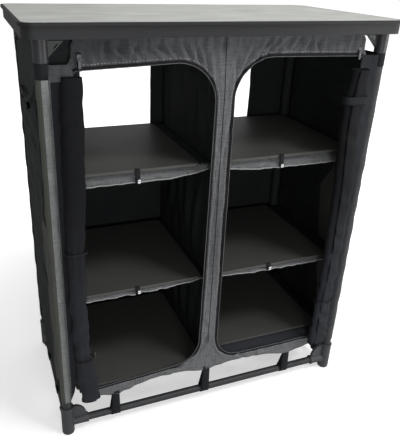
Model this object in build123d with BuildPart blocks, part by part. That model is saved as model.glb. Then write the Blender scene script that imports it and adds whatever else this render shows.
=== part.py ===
from build123d import *
import os
from math import sqrt

os.makedirs("parts", exist_ok=True)

# Camping cupboard, in millimetres: X to the right, Y to the back, Z up, feet on Z = 0
cupboard_height = 1060
top_width = 900
top_depth = 475
top_side_overhang = 40       # from the legs' axes to the tabletop's edges
top_front_overhang = 33
top_back_overhang = 46
leg_x = top_width / 2 - top_side_overhang
leg_y = (top_depth - top_front_overhang - top_back_overhang) / 2

# Clearances
tube_fit = 0.2               # radial, a tube in its connector
pin_fit = 0.06               # radial, a zip pull on its pin
lug_ease = 0.12              # a zip pull between its lugs, on each side
seat_gap = 0.3               # the lifting tabletop above its seats
sewn_gap = 0.3               # between cloth pieces that are sewn to each other
cloth_ease = 0.4             # radial, a cloth channel round its rail

# Tubes
leg_diameter = 25
bottom_rail_diameter = 20
top_rail_diameter = 18
tube_wall = 1.2
rail_start = 18              # from a leg's axis to the end of each rail

# Foot connectors
foot_hub_diameter = 33
foot_hub_height = 88
foot_floor = 18              # solid bottom below the leg
foot_edge_radius = 4
bottom_rail_height = 35
foot_socket_diameter = 26
foot_socket_reach = 55       # from the leg's axis to the socket's mouth
foot_rim_width = 4
foot_rim_height = 0.8
foot_fin_thickness = 8
foot_fin_top = 85
foot_fin_flat = 25           # where the fin's level top ends, from the leg's axis

# Top connectors
top_hub_diameter = 30
top_hub_length = 62.7
top_leg_depth = 28           # how far the leg goes into the hub
top_socket_diameter = 22
top_socket_reach = 50
top_socket_drop = 0.3        # the sockets' tops stay this far below the hub's top
gusset_thickness = 6
gusset_foot = 10             # the gusset's low end above the hub's bottom
gusset_slot_width = 2
gusset_slot_length = 14
gusset_bar = 4               # from the gusset's free edge to the slot's middle
gusset_slot_shift = 2        # the slot sits this far out from the gusset's middle
peg_diameter = 14
peg_height = 8

# Tabletop
board_thickness = 12
top_corner_radius = 30
lip_height = 6.5
lip_width = 7
groove_height = 1.5
groove_depth = 0.8
band_inset = 5
band_height = 23
profile_wall = 2
ledge_reach = 16             # from the lip's outer edge to the ledge's inner edge
board_ease = 0.3
cup_flange_diameter = 32
cup_flange_thickness = 2
cup_diameter = 20
cup_height = 9
cup_ease = 0.1
screw_diameter = 3
screw_head_diameter = 5.6
screw_length = 10
screw_offset = 12.6          # from the cup's axis

# Cloth cover
cloth_thickness = 1.8
channel_wall = 2.1
sleeve_thickness = 1.7
sleeve_bottom = 112
sleeve_band_height = 30
channel_setback = 65         # from a leg's axis to the end of the top channels
side_front_setback = {"left": 65, "right": 95}      # the same for the side panels' front ends
flap_reach = 62              # a flap covers the left side panel's front notch
flap_overlap = 14            # the flap below the notch's foot
flap_rise = 4                # and above the rail's axis
cloth_centre_x = -12         # the cover hangs a little left of the frame's middle
notch_drop = 81              # from the tabletop's surface to the foot of the notched corners
notch_gap = 8                # from the channel's end to the notch's narrowest place
notch_waist = [14, 36]       # where the notch is narrowest, above its foot
hem_corner_height = 165
hem_rise_reach = [26, 62]    # the hem rises in two steps, at these distances from a panel's edge
hem_rise_step = [15, 14]
# The front panel's left corner runs down beside the leg: distance from the leg's sleeve and height
left_hem_tail = [(26, 150), (18, 175), (12, 143), (0, 112)]
front_strap_inset = [131, 156]        # from the legs to the outer hem straps, left and right
front_hem_low = [101, 112, 101]
front_hem_crown = [125, 121]
seam_width = 3
seam_height = 0.6

# Door openings in the front panel
door_hinge_inset = 60        # from a leg's axis to the outer edge of each opening
door_inner_left = [-33, -41] # inner edge of the left opening, at its top and bottom
door_inner_right = [14, 15]
door_drop_left = [94, 81]    # from the tabletop's surface to the opening's top, at the hinge and inside
door_drop_right = [82, 76]
door_bottom_left = [137, 156]
door_bottom_right = [146, 146]
door_top_radius = 92
door_bottom_radius = 74
door_hinge_radius = 8
zip_tape_width = 7
zip_tape_thickness = 1.2

# Back panel
window_outer_reach = leg_x - 120      # from the cloth's centre
window_inner_reach = 39
window_bottom = 700
window_top = cupboard_height - 110
window_radius = 25
back_hem_height = 118
side_hem_height = 116
side_hem_end = 90            # from the panel's edge to where its hem runs level

# Compartments
shelf_heights = {"upper": 732, "middle": 410, "floor": 164}
board_shift = {"upper": 39, "middle": 17, "floor": 22}   # from the divider to the board's edge
stiffener_width = leg_x - 48
stiffener_depth = 2 * leg_y - 36
stiffener_thickness = 6
stiffener_front = leg_y - 19
stiffener_radius = 10
slid_board_drop = 18         # the left floor board has slid forwards and lies lower than the right one
slid_board_forward = 26
slid_board_aside = 14
sling_thickness = 2
sling_front = leg_y - 16
sling_leg_gap = 1
valance_drop = {"upper": 33, "middle": 17}      # from the board's top to the valance's hem
valance_lift = {"upper": 16, "middle": 7}       # how far the hem rises at the divider
valance_sag = 2              # the hem's fall from there to the side panel
valance_bend = 95            # where the hem starts to rise, from the divider
shelf_strap_x = [-208, 175]
shelf_strap_width = 13
shelf_strap_thickness = 1
buckle_width = 7
buckle_height = 9
buckle_thickness = 1.6
buckle_hole = [4.5, 2]
strap_end_gap = 1            # the straps' ends from the board's face and the hem

# Side pocket on the left side panel
pocket_bottom = 610
pocket_top = 850
pocket_half_length = 165
pocket_gape = 22
pocket_low_gape = 5
pocket_edge = 15             # width of the sewn edges at the pocket's two ends
pocket_thickness = 1.6

# Zip sliders and pulls
slider_inset = 8             # the zips end in a short upright run, this far inside the openings' edge
zip_end_drop = 58            # from the tabletop's surface to the zips' upper ends
slider_drop = 68
slider_width = 9
slider_length = 13
slider_thickness = 2.4
slider_pin_diameter = 2
slider_lug_width = 1.3
pull_length = 18             # from the pin's axis to the tip
pull_width = 5.4
pull_thickness = 1.4
pull_eye_diameter = 4.2
pull_clear = 0.4             # the pull's eye from the slider's face
pin_cover = 0.5              # the lugs' rim outside the pin

# Door rolls, rolled outwards. Each section: its height, how far its middle is outside the opening's
# outer edge, its width and its depth, from the bottom up
roll_depth = 31
roll_waist = 27              # depth where a band draws the roll in
roll_round = 11
roll_layer = 2               # thickness of the outermost layer's edge
roll_layer_radius = 0.5
left_roll = [(128, 0, 52, roll_depth), (190, 3, 54, roll_depth), (262, 13, 42, roll_waist),
             (400, 18, 45, roll_depth), (cupboard_height - 494, 17, 45, roll_waist),
             (cupboard_height - 360, 12, 48, roll_depth),
             (cupboard_height - 102, 8, 45, roll_waist)]
right_roll = [(135, -8, 60, roll_depth), (285, -9, 50, roll_waist), (400, -4, 51, roll_depth),
              (cupboard_height - 417, -7, 60, roll_depth), (cupboard_height - 260, -21, 55, roll_depth),
              (cupboard_height - 184, -17, 62, roll_waist),
              (cupboard_height - 110, -15, 46, roll_depth)]
roll_seam_width = 2          # the sewn edge that joins a roll to its opening's outer side
roll_seam_inset = 4
roll_seam_bottom = 165
roll_seam_top = 12           # from the roll's top down to the end of the sewn edge
tie_ease = 0.5
tie_thickness = 1.1
left_ties = {2: 4, 4: 5}     # the section that each band draws in, counted from 0: the band's width
right_ties = {1: 5, 5: 20}
tie_clear = 8                # the sewn edge stays this far from each band
toggle_diameter = 8
toggle_length = 20
toggle_radius = 3
toggle_drop = 6              # the toggle's lower end below its band's middle

# Hem straps
hem_strap_width = 25
hem_strap_thickness = 1.4
hem_strap_lap = 0.3          # the loop's overlap where the strap is sewn on itself
side_strap_y = [-70, 80]

# Worked out from the sizes above
door_hinge_reach = leg_x - door_hinge_inset
door_top_left = [cupboard_height - drop for drop in door_drop_left]
door_top_right = [cupboard_height - drop for drop in door_drop_right]
notch_foot_height = cupboard_height - notch_drop
front_strap_x = [front_strap_inset[0] - leg_x, cloth_centre_x, leg_x - front_strap_inset[1]]
slider_x = door_hinge_reach - slider_inset
board_bottom = cupboard_height - board_thickness
band_bottom = cupboard_height - lip_height - groove_height - band_height
hub_top = board_bottom - cup_flange_thickness - seat_gap
hub_bottom = hub_top - top_hub_length
top_rail_height = hub_top - top_socket_drop - top_socket_diameter / 2
leg_top = hub_bottom + top_leg_depth
sleeve_inner = leg_diameter / 2 + 0.3
sleeve_outer = sleeve_inner + sleeve_thickness
sleeve_top = hub_bottom - sleeve_band_height
channel_inner = top_rail_diameter / 2 + cloth_ease
channel_outer = channel_inner + channel_wall
cloth_back = channel_inner + 0.1               # from a rail's axis to the cloth's inner face
cloth_front = cloth_back + cloth_thickness
panel_setback = sqrt(sleeve_outer ** 2 - cloth_back ** 2) + sewn_gap
panel_x = leg_x - panel_setback
panel_y = leg_y - panel_setback
front_face = leg_y + cloth_front
front_back = leg_y + cloth_back
side_face = leg_x + cloth_front
side_back = leg_x + cloth_back
channel_x = leg_x - channel_setback
channel_y = leg_y - channel_setback
divider_half = cloth_thickness / 2
strap_inner = bottom_rail_diameter / 2 + cloth_ease
roll_y = roll_depth / 2 - leg_y - top_back_overhang     # as far forward as the tabletop reaches back

corners = {"front_left": (-1, -1), "front_right": (1, -1), "back_left": (-1, 1), "back_right": (1, 1)}
sides = {"left": -1, "right": 1}


# Tabletop
top_middle_y = (top_back_overhang - top_front_overhang) / 2


def top_outline(height, inset):
    """The tabletop's rounded outline on a level plane, drawn in from its outer edge."""
    plane = Plane((0, top_middle_y, height))
    with BuildSketch(plane) as outline:
        RectangleRounded(top_width - 2 * inset, top_depth - 2 * inset, top_corner_radius - inset)
    return outline.sketch


groove_top = cupboard_height - lip_height
groove_bottom = groove_top - groove_height
ledge_bottom = board_bottom - profile_wall
with BuildPart() as tabletop_edge_frame:
    extrude(top_outline(groove_top, 0), amount=lip_height)
    fillet(tabletop_edge_frame.faces().sort_by(Axis.Z)[-1].edges(), radius=1.5)
    extrude(top_outline(band_bottom, band_inset), amount=groove_bottom - band_bottom)
    extrude(top_outline(groove_bottom, band_inset + groove_depth), amount=groove_height)
    extrude(top_outline(board_bottom, lip_width), amount=board_thickness, mode=Mode.SUBTRACT)
    extrude(top_outline(band_bottom + profile_wall, band_inset + profile_wall),
            amount=ledge_bottom - band_bottom - profile_wall, mode=Mode.SUBTRACT)
    extrude(top_outline(band_bottom, ledge_reach), amount=band_height, mode=Mode.SUBTRACT)
tabletop_edge_frame.part.label = "tabletop_edge_frame"
export_step(tabletop_edge_frame.part, "parts/tabletop_edge_frame.step")

screw_spots = []
for side_x, side_y in corners.values():
    for way in (-1, 1):
        step = screw_offset / sqrt(2)
        screw_spots.append((side_x * leg_x + way * side_x * step, side_y * leg_y - way * side_y * step))
cup_spots = [(side_x * leg_x, side_y * leg_y) for side_x, side_y in corners.values()]

with BuildPart() as tabletop_board:
    extrude(top_outline(board_bottom, lip_width + board_ease), amount=board_thickness)
    with BuildSketch(Plane.XY.offset(board_bottom)):
        with Locations(*cup_spots):
            Circle(cup_diameter / 2 + cup_ease)
    extrude(amount=cup_height, mode=Mode.SUBTRACT)
    with BuildSketch(Plane.XY.offset(board_bottom)):
        with Locations(*screw_spots):
            Circle(screw_diameter / 2 + cup_ease)
    extrude(amount=screw_length - cup_flange_thickness, mode=Mode.SUBTRACT)
tabletop_board.part.label = "tabletop_board"
export_step(tabletop_board.part, "parts/tabletop_board.step")

flange_bottom = board_bottom - cup_flange_thickness
with BuildPart() as tabletop_sockets:
    with BuildSketch(Plane.XY.offset(flange_bottom)):
        with Locations(*cup_spots):
            Circle(cup_flange_diameter / 2)
    extrude(amount=cup_flange_thickness)
    with BuildSketch(Plane.XY.offset(board_bottom)):
        with Locations(*cup_spots):
            Circle(cup_diameter / 2)
    extrude(amount=cup_height - cup_ease)
    with BuildSketch(Plane.XY.offset(flange_bottom)):
        with Locations(*cup_spots):
            Circle(peg_diameter / 2 + tube_fit)
    extrude(amount=peg_height + seat_gap, mode=Mode.SUBTRACT)
    with Locations(*[(x, y, flange_bottom) for x, y in screw_spots]):
        with Locations(Rotation(180, 0, 0)):
            CounterSinkHole(screw_diameter / 2 + cup_ease, screw_head_diameter / 2 + cup_ease,
                            depth=cup_flange_thickness + 1)
tabletop_sockets.part.label = "tabletop_sockets"
export_step(tabletop_sockets.part, "parts/tabletop_sockets.step")

head_height = (screw_head_diameter - screw_diameter) / 2
with BuildPart() as tabletop_screws:
    with BuildSketch(Plane.XY.offset(flange_bottom)):
        with Locations(*screw_spots):
            Circle(screw_diameter / 2)
    extrude(amount=screw_length)
    with Locations(*[(x, y, flange_bottom + head_height / 2) for x, y in screw_spots]):
        Cone(screw_head_diameter / 2, screw_diameter / 2, head_height)
tabletop_screws.part.label = "tabletop_screws"
export_step(tabletop_screws.part, "parts/tabletop_screws.step")


# Legs and rails
def tube(plane, length, diameter):
    """A round tube that starts on a plane and runs along its normal."""
    with BuildPart() as pipe:
        with BuildSketch(plane):
            Circle(diameter / 2)
            Circle(diameter / 2 - tube_wall, mode=Mode.SUBTRACT)
        extrude(amount=length)
    return pipe


for name, (side_x, side_y) in corners.items():
    leg = tube(Plane((side_x * leg_x, side_y * leg_y, foot_floor)), leg_top - foot_floor, leg_diameter)
    leg.part.label = f"leg_{name}"
    export_step(leg.part, f"parts/leg_{name}.step")

rail_levels = {"bottom": (bottom_rail_height, bottom_rail_diameter),
               "top": (top_rail_height, top_rail_diameter)}
for level, (height, diameter) in rail_levels.items():
    for name, side in {"front": -1, "back": 1}.items():
        plane = Plane((rail_start - leg_x, side * leg_y, height), z_dir=(1, 0, 0))
        rail = tube(plane, 2 * (leg_x - rail_start), diameter)
        rail.part.label = f"{level}_rail_{name}"
        export_step(rail.part, f"parts/{level}_rail_{name}.step")
    for name, side in sides.items():
        plane = Plane((side * leg_x, rail_start - leg_y, height), z_dir=(0, 1, 0))
        rail = tube(plane, 2 * (leg_y - rail_start), diameter)
        rail.part.label = f"{level}_rail_{name}"
        export_step(rail.part, f"parts/{level}_rail_{name}.step")


# Connectors. Each has a hub round the leg and two sockets that point inwards along X and Y
def inward_planes(side_x, side_y, height, reach):
    """The planes across the two socket axes, a given reach from the leg's axis."""
    along_x = Plane((side_x * (leg_x - reach), side_y * leg_y, height), z_dir=(-side_x, 0, 0))
    along_y = Plane((side_x * leg_x, side_y * (leg_y - reach), height), z_dir=(0, -side_y, 0))
    return [along_x, along_y]


def upright_planes(side_x, side_y):
    """The upright planes through the two socket axes, with x pointing inwards and y up."""
    origin = (side_x * leg_x, side_y * leg_y, 0)
    in_xz = Plane(origin, x_dir=(-side_x, 0, 0), z_dir=(0, side_x, 0))
    in_yz = Plane(origin, x_dir=(0, -side_y, 0), z_dir=(-side_y, 0, 0))
    return [in_xz, in_yz]


foot_hub_radius = foot_hub_diameter / 2
foot_bore = leg_diameter / 2 + tube_fit
fin_low = bottom_rail_height + foot_socket_diameter / 2
for name, (side_x, side_y) in corners.items():
    with BuildPart() as foot:
        with BuildSketch(Plane((side_x * leg_x, side_y * leg_y, 0))):
            Circle(foot_hub_radius)
        extrude(amount=foot_hub_height)
        fillet(foot.edges().sort_by(Axis.Z)[0], radius=foot_edge_radius)
        with BuildSketch(Plane((side_x * leg_x, side_y * leg_y, foot_hub_height - foot_rim_width))):
            Circle(foot_hub_radius + foot_rim_height)
        extrude(amount=foot_rim_width)
        for plane in inward_planes(side_x, side_y, bottom_rail_height, foot_bore):
            with BuildSketch(plane):
                Circle(foot_socket_diameter / 2)
            extrude(amount=foot_socket_reach - foot_bore)
        rim_start = foot_socket_reach - foot_rim_width
        for plane in inward_planes(side_x, side_y, bottom_rail_height, rim_start):
            with BuildSketch(plane):
                Circle(foot_socket_diameter / 2 + foot_rim_height)
            extrude(amount=foot_rim_width)
        for plane in upright_planes(side_x, side_y):
            with BuildSketch(plane):
                with BuildLine():
                    Line((foot_bore, foot_fin_top), (foot_fin_flat, foot_fin_top))
                    RadiusArc((foot_fin_flat, foot_fin_top), (rim_start, fin_low - 1),
                              foot_fin_top - fin_low + 2)
                    Polyline((rim_start, fin_low - 1), (rim_start, bottom_rail_height),
                             (foot_bore, bottom_rail_height), (foot_bore, foot_fin_top))
                make_face()
            extrude(amount=foot_fin_thickness / 2, both=True)
        with BuildSketch(Plane((side_x * leg_x, side_y * leg_y, foot_floor))):
            Circle(foot_bore)
        extrude(amount=foot_hub_height, mode=Mode.SUBTRACT)
        for plane in inward_planes(side_x, side_y, bottom_rail_height, rail_start):
            with BuildSketch(plane):
                Circle(bottom_rail_diameter / 2 + tube_fit)
            extrude(amount=foot_socket_reach, mode=Mode.SUBTRACT)
    foot.part.label = f"foot_{name}"
    export_step(foot.part, f"parts/foot_{name}.step")

top_hub_radius = top_hub_diameter / 2
socket_bottom = top_rail_height - top_socket_diameter / 2
gusset_rise = socket_bottom + 1 - hub_bottom - gusset_foot
slot_middle = gusset_rise / 2
for name, (side_x, side_y) in corners.items():
    with BuildPart() as connector:
        with BuildSketch(Plane((side_x * leg_x, side_y * leg_y, hub_bottom))):
            Circle(top_hub_radius)
        extrude(amount=top_hub_length)
        for plane in inward_planes(side_x, side_y, top_rail_height, foot_bore):
            with BuildSketch(plane):
                Circle(top_socket_diameter / 2)
            extrude(amount=top_socket_reach - foot_bore)
        for plane in upright_planes(side_x, side_y):
            with BuildSketch(plane):
                Polygon((foot_bore, hub_bottom + gusset_foot), (top_hub_radius, hub_bottom + gusset_foot),
                        (top_hub_radius + gusset_rise, socket_bottom + 1),
                        (foot_bore, socket_bottom + 1), align=None)
                slot_in = gusset_bar / sqrt(2)
                with Locations((top_hub_radius + slot_middle - slot_in + gusset_slot_shift,
                                hub_bottom + gusset_foot + slot_middle + slot_in + gusset_slot_shift)):
                    SlotOverall(gusset_slot_length, gusset_slot_width, rotation=45, mode=Mode.SUBTRACT)
            extrude(amount=gusset_thickness / 2, both=True)
        with BuildSketch(Plane((side_x * leg_x, side_y * leg_y, hub_bottom))):
            Circle(foot_bore)
        extrude(amount=top_leg_depth, mode=Mode.SUBTRACT)
        for plane in inward_planes(side_x, side_y, top_rail_height, rail_start):
            with BuildSketch(plane):
                Circle(top_rail_diameter / 2 + tube_fit)
            extrude(amount=top_socket_reach, mode=Mode.SUBTRACT)
        with BuildSketch(Plane((side_x * leg_x, side_y * leg_y, hub_top))):
            Circle(peg_diameter / 2)
        extrude(amount=peg_height)
        fillet(connector.edges().sort_by(Axis.Z)[-1], radius=1)
    connector.part.label = f"top_connector_{name}"
    export_step(connector.part, f"parts/top_connector_{name}.step")


# Leg sleeves and their black top bands
def ring(plane, outer, inner):
    """A round ring on a plane."""
    with BuildSketch(plane) as outline:
        Circle(outer)
        Circle(inner, mode=Mode.SUBTRACT)
    return outline.sketch


def sleeve_ring(side_x, side_y, height):
    return ring(Plane((side_x * leg_x, side_y * leg_y, height)), sleeve_outer, sleeve_inner)


for name, (side_x, side_y) in corners.items():
    with BuildPart() as sleeve:
        extrude(sleeve_ring(side_x, side_y, sleeve_bottom), amount=sleeve_top - sleeve_bottom)
    sleeve.part.label = f"sleeve_{name}"
    export_step(sleeve.part, f"parts/sleeve_{name}.step")

with BuildPart() as sleeve_top_bands:
    for side_x, side_y in corners.values():
        extrude(sleeve_ring(side_x, side_y, sleeve_top), amount=sleeve_band_height)
sleeve_top_bands.part.label = "sleeve_top_bands"
export_step(sleeve_top_bands.part, "parts/sleeve_top_bands.step")


# Cover panels. Each hangs from its top rail by a channel and is notched at its corners
def panel_upper(half_width, left_channel, right_channel):
    """The outline from the left hem corner up, over the top and down to the right hem corner."""
    ends = []
    for channel_reach in (left_channel, right_channel):
        notch = channel_reach + notch_gap
        ends.append([(channel_reach, top_rail_height), (notch, notch_foot_height + notch_waist[1]),
                     (notch, notch_foot_height + notch_waist[0]), (notch + notch_gap, notch_foot_height),
                     (half_width, notch_foot_height), (half_width, hem_corner_height)])
    left = [(-x, z) for x, z in reversed(ends[0])]
    return left + ends[1]


def hem_rise(half_width, low):
    """The hem from a leg inwards, where it is cut up round the foot."""
    way = 1 if half_width > 0 else -1
    near, far = [half_width - way * reach for reach in hem_rise_reach]
    return [(half_width, hem_corner_height), (near, hem_corner_height - hem_rise_step[0]),
            (far, low + hem_rise_step[1])]


def channel(start, along):
    """The end of the cloth channel round a top rail."""
    return ring(Plane(start, z_dir=along), channel_outer, channel_inner)


def door_outline(side, grow=0):
    """A D-shaped door opening, square at its hinge side and round at its inner side."""
    inner = door_inner_left if side < 0 else door_inner_right
    top = door_top_left if side < 0 else door_top_right
    bottom = door_bottom_left if side < 0 else door_bottom_right
    hinge = side * door_hinge_reach
    with BuildSketch(Plane.XZ.offset(front_face)) as opening:
        with BuildLine():
            FilletPolyline((hinge, bottom[0]), (inner[1], bottom[1]), (inner[0], top[1]), (hinge, top[0]),
                           radius=[door_hinge_radius, door_bottom_radius, door_top_radius,
                                   door_hinge_radius], close=True)
        make_face()
        if grow:
            offset(amount=grow)
    return opening.sketch


left_strap, middle_strap, right_strap = front_strap_x
left_low, middle_low, right_low = front_hem_low
half_strap = hem_strap_width / 2
with BuildPart() as front_panel:
    with BuildSketch(Plane.XZ.offset(front_back)):
        with BuildLine():
            Polyline(*panel_upper(panel_x, channel_x, channel_x))
            Polyline(*hem_rise(panel_x, right_low), (right_strap + half_strap, right_low),
                     (right_strap - half_strap, right_low))
            ThreePointArc((right_strap - half_strap, right_low),
                          ((right_strap + middle_strap) / 2, front_hem_crown[1]),
                          (middle_strap + half_strap, middle_low))
            Line((middle_strap + half_strap, middle_low), (middle_strap - half_strap, middle_low))
            ThreePointArc((middle_strap - half_strap, middle_low),
                          ((middle_strap + left_strap) / 2, front_hem_crown[0]),
                          (left_strap + half_strap, left_low))
            Polyline((left_strap + half_strap, left_low), (left_strap - half_strap, left_low),
                     hem_rise(-panel_x, left_low)[-1],
                     *[(reach - panel_x, height) for reach, height in left_hem_tail],
                     (-panel_x, hem_corner_height))
        make_face()
    extrude(amount=cloth_thickness)
    extrude(channel((-channel_x, -leg_y, top_rail_height), (1, 0, 0)), amount=2 * channel_x)
    for side in sides.values():
        extrude(door_outline(side), amount=cloth_thickness, both=True, mode=Mode.SUBTRACT)
    seam_bottom = middle_low + 4
    with BuildSketch(Plane.XZ.offset(front_face)):
        with Locations((cloth_centre_x, (notch_foot_height + seam_bottom) / 2)):
            Rectangle(seam_width, notch_foot_height - seam_bottom)
    extrude(amount=seam_height)
front_panel.part.label = "front_panel"
export_step(front_panel.part, "parts/front_panel.step")

window_width = window_outer_reach - window_inner_reach
window_middle = (window_outer_reach + window_inner_reach) / 2
with BuildPart() as back_panel:
    with BuildSketch(Plane.XZ.offset(-front_back)):
        with BuildLine():
            Polyline(*panel_upper(panel_x, channel_x, channel_x), *hem_rise(panel_x, back_hem_height)[1:],
                     (right_strap + half_strap, back_hem_height), (left_strap - half_strap, back_hem_height),
                     *reversed(hem_rise(-panel_x, back_hem_height)))
        make_face()
        with Locations(*[(cloth_centre_x + way * window_middle, (window_bottom + window_top) / 2)
                         for way in (-1, 1)]):
            RectangleRounded(window_width, window_top - window_bottom, window_radius, mode=Mode.SUBTRACT)
    extrude(amount=-cloth_thickness)
    extrude(channel((-channel_x, leg_y, top_rail_height), (1, 0, 0)), amount=2 * channel_x)
back_panel.part.label = "back_panel"
export_step(back_panel.part, "parts/back_panel.step")

flap_bottom = notch_foot_height - flap_overlap
flap_top = top_rail_height + flap_rise
for name, side in sides.items():
    front_channel_y = leg_y - side_front_setback[name]
    with BuildPart() as side_panel:
        with BuildSketch(Plane.YZ.offset(side * side_back)):
            with BuildLine():
                Polyline(*panel_upper(panel_y, front_channel_y, channel_y),
                         *hem_rise(panel_y, side_hem_height)[1:],
                         (panel_y - side_hem_end, side_hem_height), (side_hem_end - panel_y, side_hem_height),
                         *reversed(hem_rise(-panel_y, side_hem_height)))
            make_face()
        extrude(amount=side * cloth_thickness)
        extrude(channel((side * leg_x, -front_channel_y, top_rail_height), (0, 1, 0)),
                amount=front_channel_y + channel_y)
        if name == "left":
            with BuildSketch(Plane.YZ.offset(side * side_face)):
                Polygon((-panel_y, flap_bottom), (flap_reach - panel_y, flap_bottom),
                        (flap_reach - panel_y, flap_top), (-panel_y, flap_top), align=None)
            extrude(amount=side * cloth_thickness)
    side_panel.part.label = f"{name}_side_panel"
    export_step(side_panel.part, f"parts/{name}_side_panel.step")

divider_bottom = shelf_heights["floor"] - slid_board_drop - stiffener_thickness - sling_thickness
divider_top = top_rail_height - channel_outer - 1
with BuildPart() as centre_divider:
    with BuildSketch(Plane.YZ.offset(cloth_centre_x)):
        with Locations((0, (divider_bottom + divider_top) / 2)):
            Rectangle(2 * (front_back - sewn_gap), divider_top - divider_bottom)
    extrude(amount=divider_half, both=True)
centre_divider.part.label = "centre_divider"
export_step(centre_divider.part, "parts/centre_divider.step")


# Side pocket, sewn on the left side panel along its bottom and its two edges
def pocket_section(height, gape, inset):
    """The pocket's plan at one height: the panel's face behind, a bowed front."""
    half = pocket_half_length - inset
    face = -(side_face + sewn_gap)
    with BuildSketch(Plane.XY.offset(height)) as plan:
        with BuildLine():
            Line((face, -half), (face, half))
            ThreePointArc((face, half), (face - gape, 0), (face, -half))
        make_face()
    return plan.sketch


with BuildPart() as side_pocket:
    loft([pocket_section(pocket_bottom, pocket_low_gape, 0), pocket_section(pocket_top, pocket_gape, 0)],
         ruled=True)
    loft([pocket_section(pocket_bottom + pocket_thickness, pocket_low_gape - pocket_thickness, pocket_edge),
          pocket_section(pocket_top, pocket_gape - pocket_thickness, pocket_edge)],
         ruled=True, mode=Mode.SUBTRACT)
side_pocket.part.label = "side_pocket"
export_step(side_pocket.part, "parts/side_pocket.step")

# Compartments: a cloth sling and a loose stiffener board on it. The floor's slings reach the front
# panel, and the others hang down over their board's front edge as a short valance
sling_outer = side_back - sewn_gap
sling_back = front_back - sewn_gap
for name, side in sides.items():
    divider_face = cloth_centre_x + side * (divider_half + sewn_gap)
    for level, height in shelf_heights.items():
        shift = board_shift[level]
        front = stiffener_front
        if level == "floor" and name == "left":
            height = height - slid_board_drop
            shift = shift - slid_board_aside
            front = front + slid_board_forward
        bed = height - stiffener_thickness
        bed_front = sling_back if level == "floor" else sling_front
        with BuildPart() as sling:
            with BuildSketch(Plane.XY.offset(bed - sling_thickness)):
                Polygon((divider_face, -bed_front), (side * sling_outer, -bed_front),
                        (side * sling_outer, sling_back), (divider_face, sling_back), align=None)
                with Locations((side * leg_x, leg_y), (side * leg_x, -leg_y)):
                    Circle(sleeve_outer + sling_leg_gap, mode=Mode.SUBTRACT)
            extrude(amount=sling_thickness)
            if level != "floor":
                hem = height - valance_drop[level]
                bend = divider_face + side * valance_bend
                with BuildSketch(Plane.XZ.offset(sling_front - sling_thickness)):
                    Polygon((divider_face, bed), (divider_face, hem + valance_lift[level]),
                            (bend, hem + valance_sag), (side * sling_outer, hem), (side * sling_outer, bed),
                            align=None)
                extrude(amount=sling_thickness)
        sling.part.label = f"{name}_{level}_sling"
        export_step(sling.part, f"parts/{name}_{level}_sling.step")

        board_x = cloth_centre_x + side * (shift + stiffener_width / 2)
        with BuildPart() as board:
            with BuildSketch(Plane((board_x, stiffener_depth / 2 - front, bed))):
                RectangleRounded(stiffener_width, stiffener_depth, stiffener_radius)
            extrude(amount=stiffener_thickness)
        board.part.label = f"{name}_{level}_board"
        export_step(board.part, f"parts/{name}_{level}_board.step")

with BuildPart() as shelf_straps:
    for x in shelf_strap_x:
        for level in valance_drop:
            top = shelf_heights[level] - strap_end_gap
            low = shelf_heights[level] - valance_drop[level] - strap_end_gap
            with BuildSketch(Plane.XZ.offset(sling_front)):
                with Locations((x, (top + low) / 2)):
                    Rectangle(shelf_strap_width, top - low)
            extrude(amount=shelf_strap_thickness)
shelf_straps.part.label = "shelf_straps"
export_step(shelf_straps.part, "parts/shelf_straps.step")

with BuildPart() as strap_buckles:
    for x in shelf_strap_x:
        for level in valance_drop:
            low = shelf_heights[level] - valance_drop[level]
            with BuildSketch(Plane.XZ.offset(sling_front + shelf_strap_thickness)):
                with Locations((x + shelf_strap_width / 4, low + buckle_height / 2)):
                    RectangleRounded(buckle_width, buckle_height, 2)
                    SlotOverall(*buckle_hole, mode=Mode.SUBTRACT)
            extrude(amount=buckle_thickness)
strap_buckles.part.label = "strap_buckles"
export_step(strap_buckles.part, "parts/strap_buckles.step")

# Zip tapes round the door openings, their sliders and pulls
tape_face = front_face + zip_tape_thickness
zip_end_height = cupboard_height - zip_end_drop
slider_height = cupboard_height - slider_drop
for name, side in sides.items():
    top = door_top_left if side < 0 else door_top_right
    with BuildPart() as zip_tape:
        extrude(door_outline(side, zip_tape_width), amount=zip_tape_thickness)
        extrude(door_outline(side), amount=zip_tape_thickness, mode=Mode.SUBTRACT)
        with BuildSketch(Plane.XZ.offset(front_face)):
            with Locations((side * door_hinge_reach, (top[0] + hem_corner_height) / 2)):
                Rectangle(2 * (door_hinge_reach - slider_x), top[0])
        extrude(amount=zip_tape_thickness, mode=Mode.SUBTRACT)
        with BuildSketch(Plane.XZ.offset(front_face)):
            with Locations((side * (slider_x - slider_width / 2), (top[0] + 1 + zip_end_height) / 2)):
                Rectangle(slider_width, zip_end_height - top[0] - 1)
        extrude(amount=zip_tape_thickness)
    zip_tape.part.label = f"{name}_zip_tape"
    export_step(zip_tape.part, f"parts/{name}_zip_tape.step")

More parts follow.
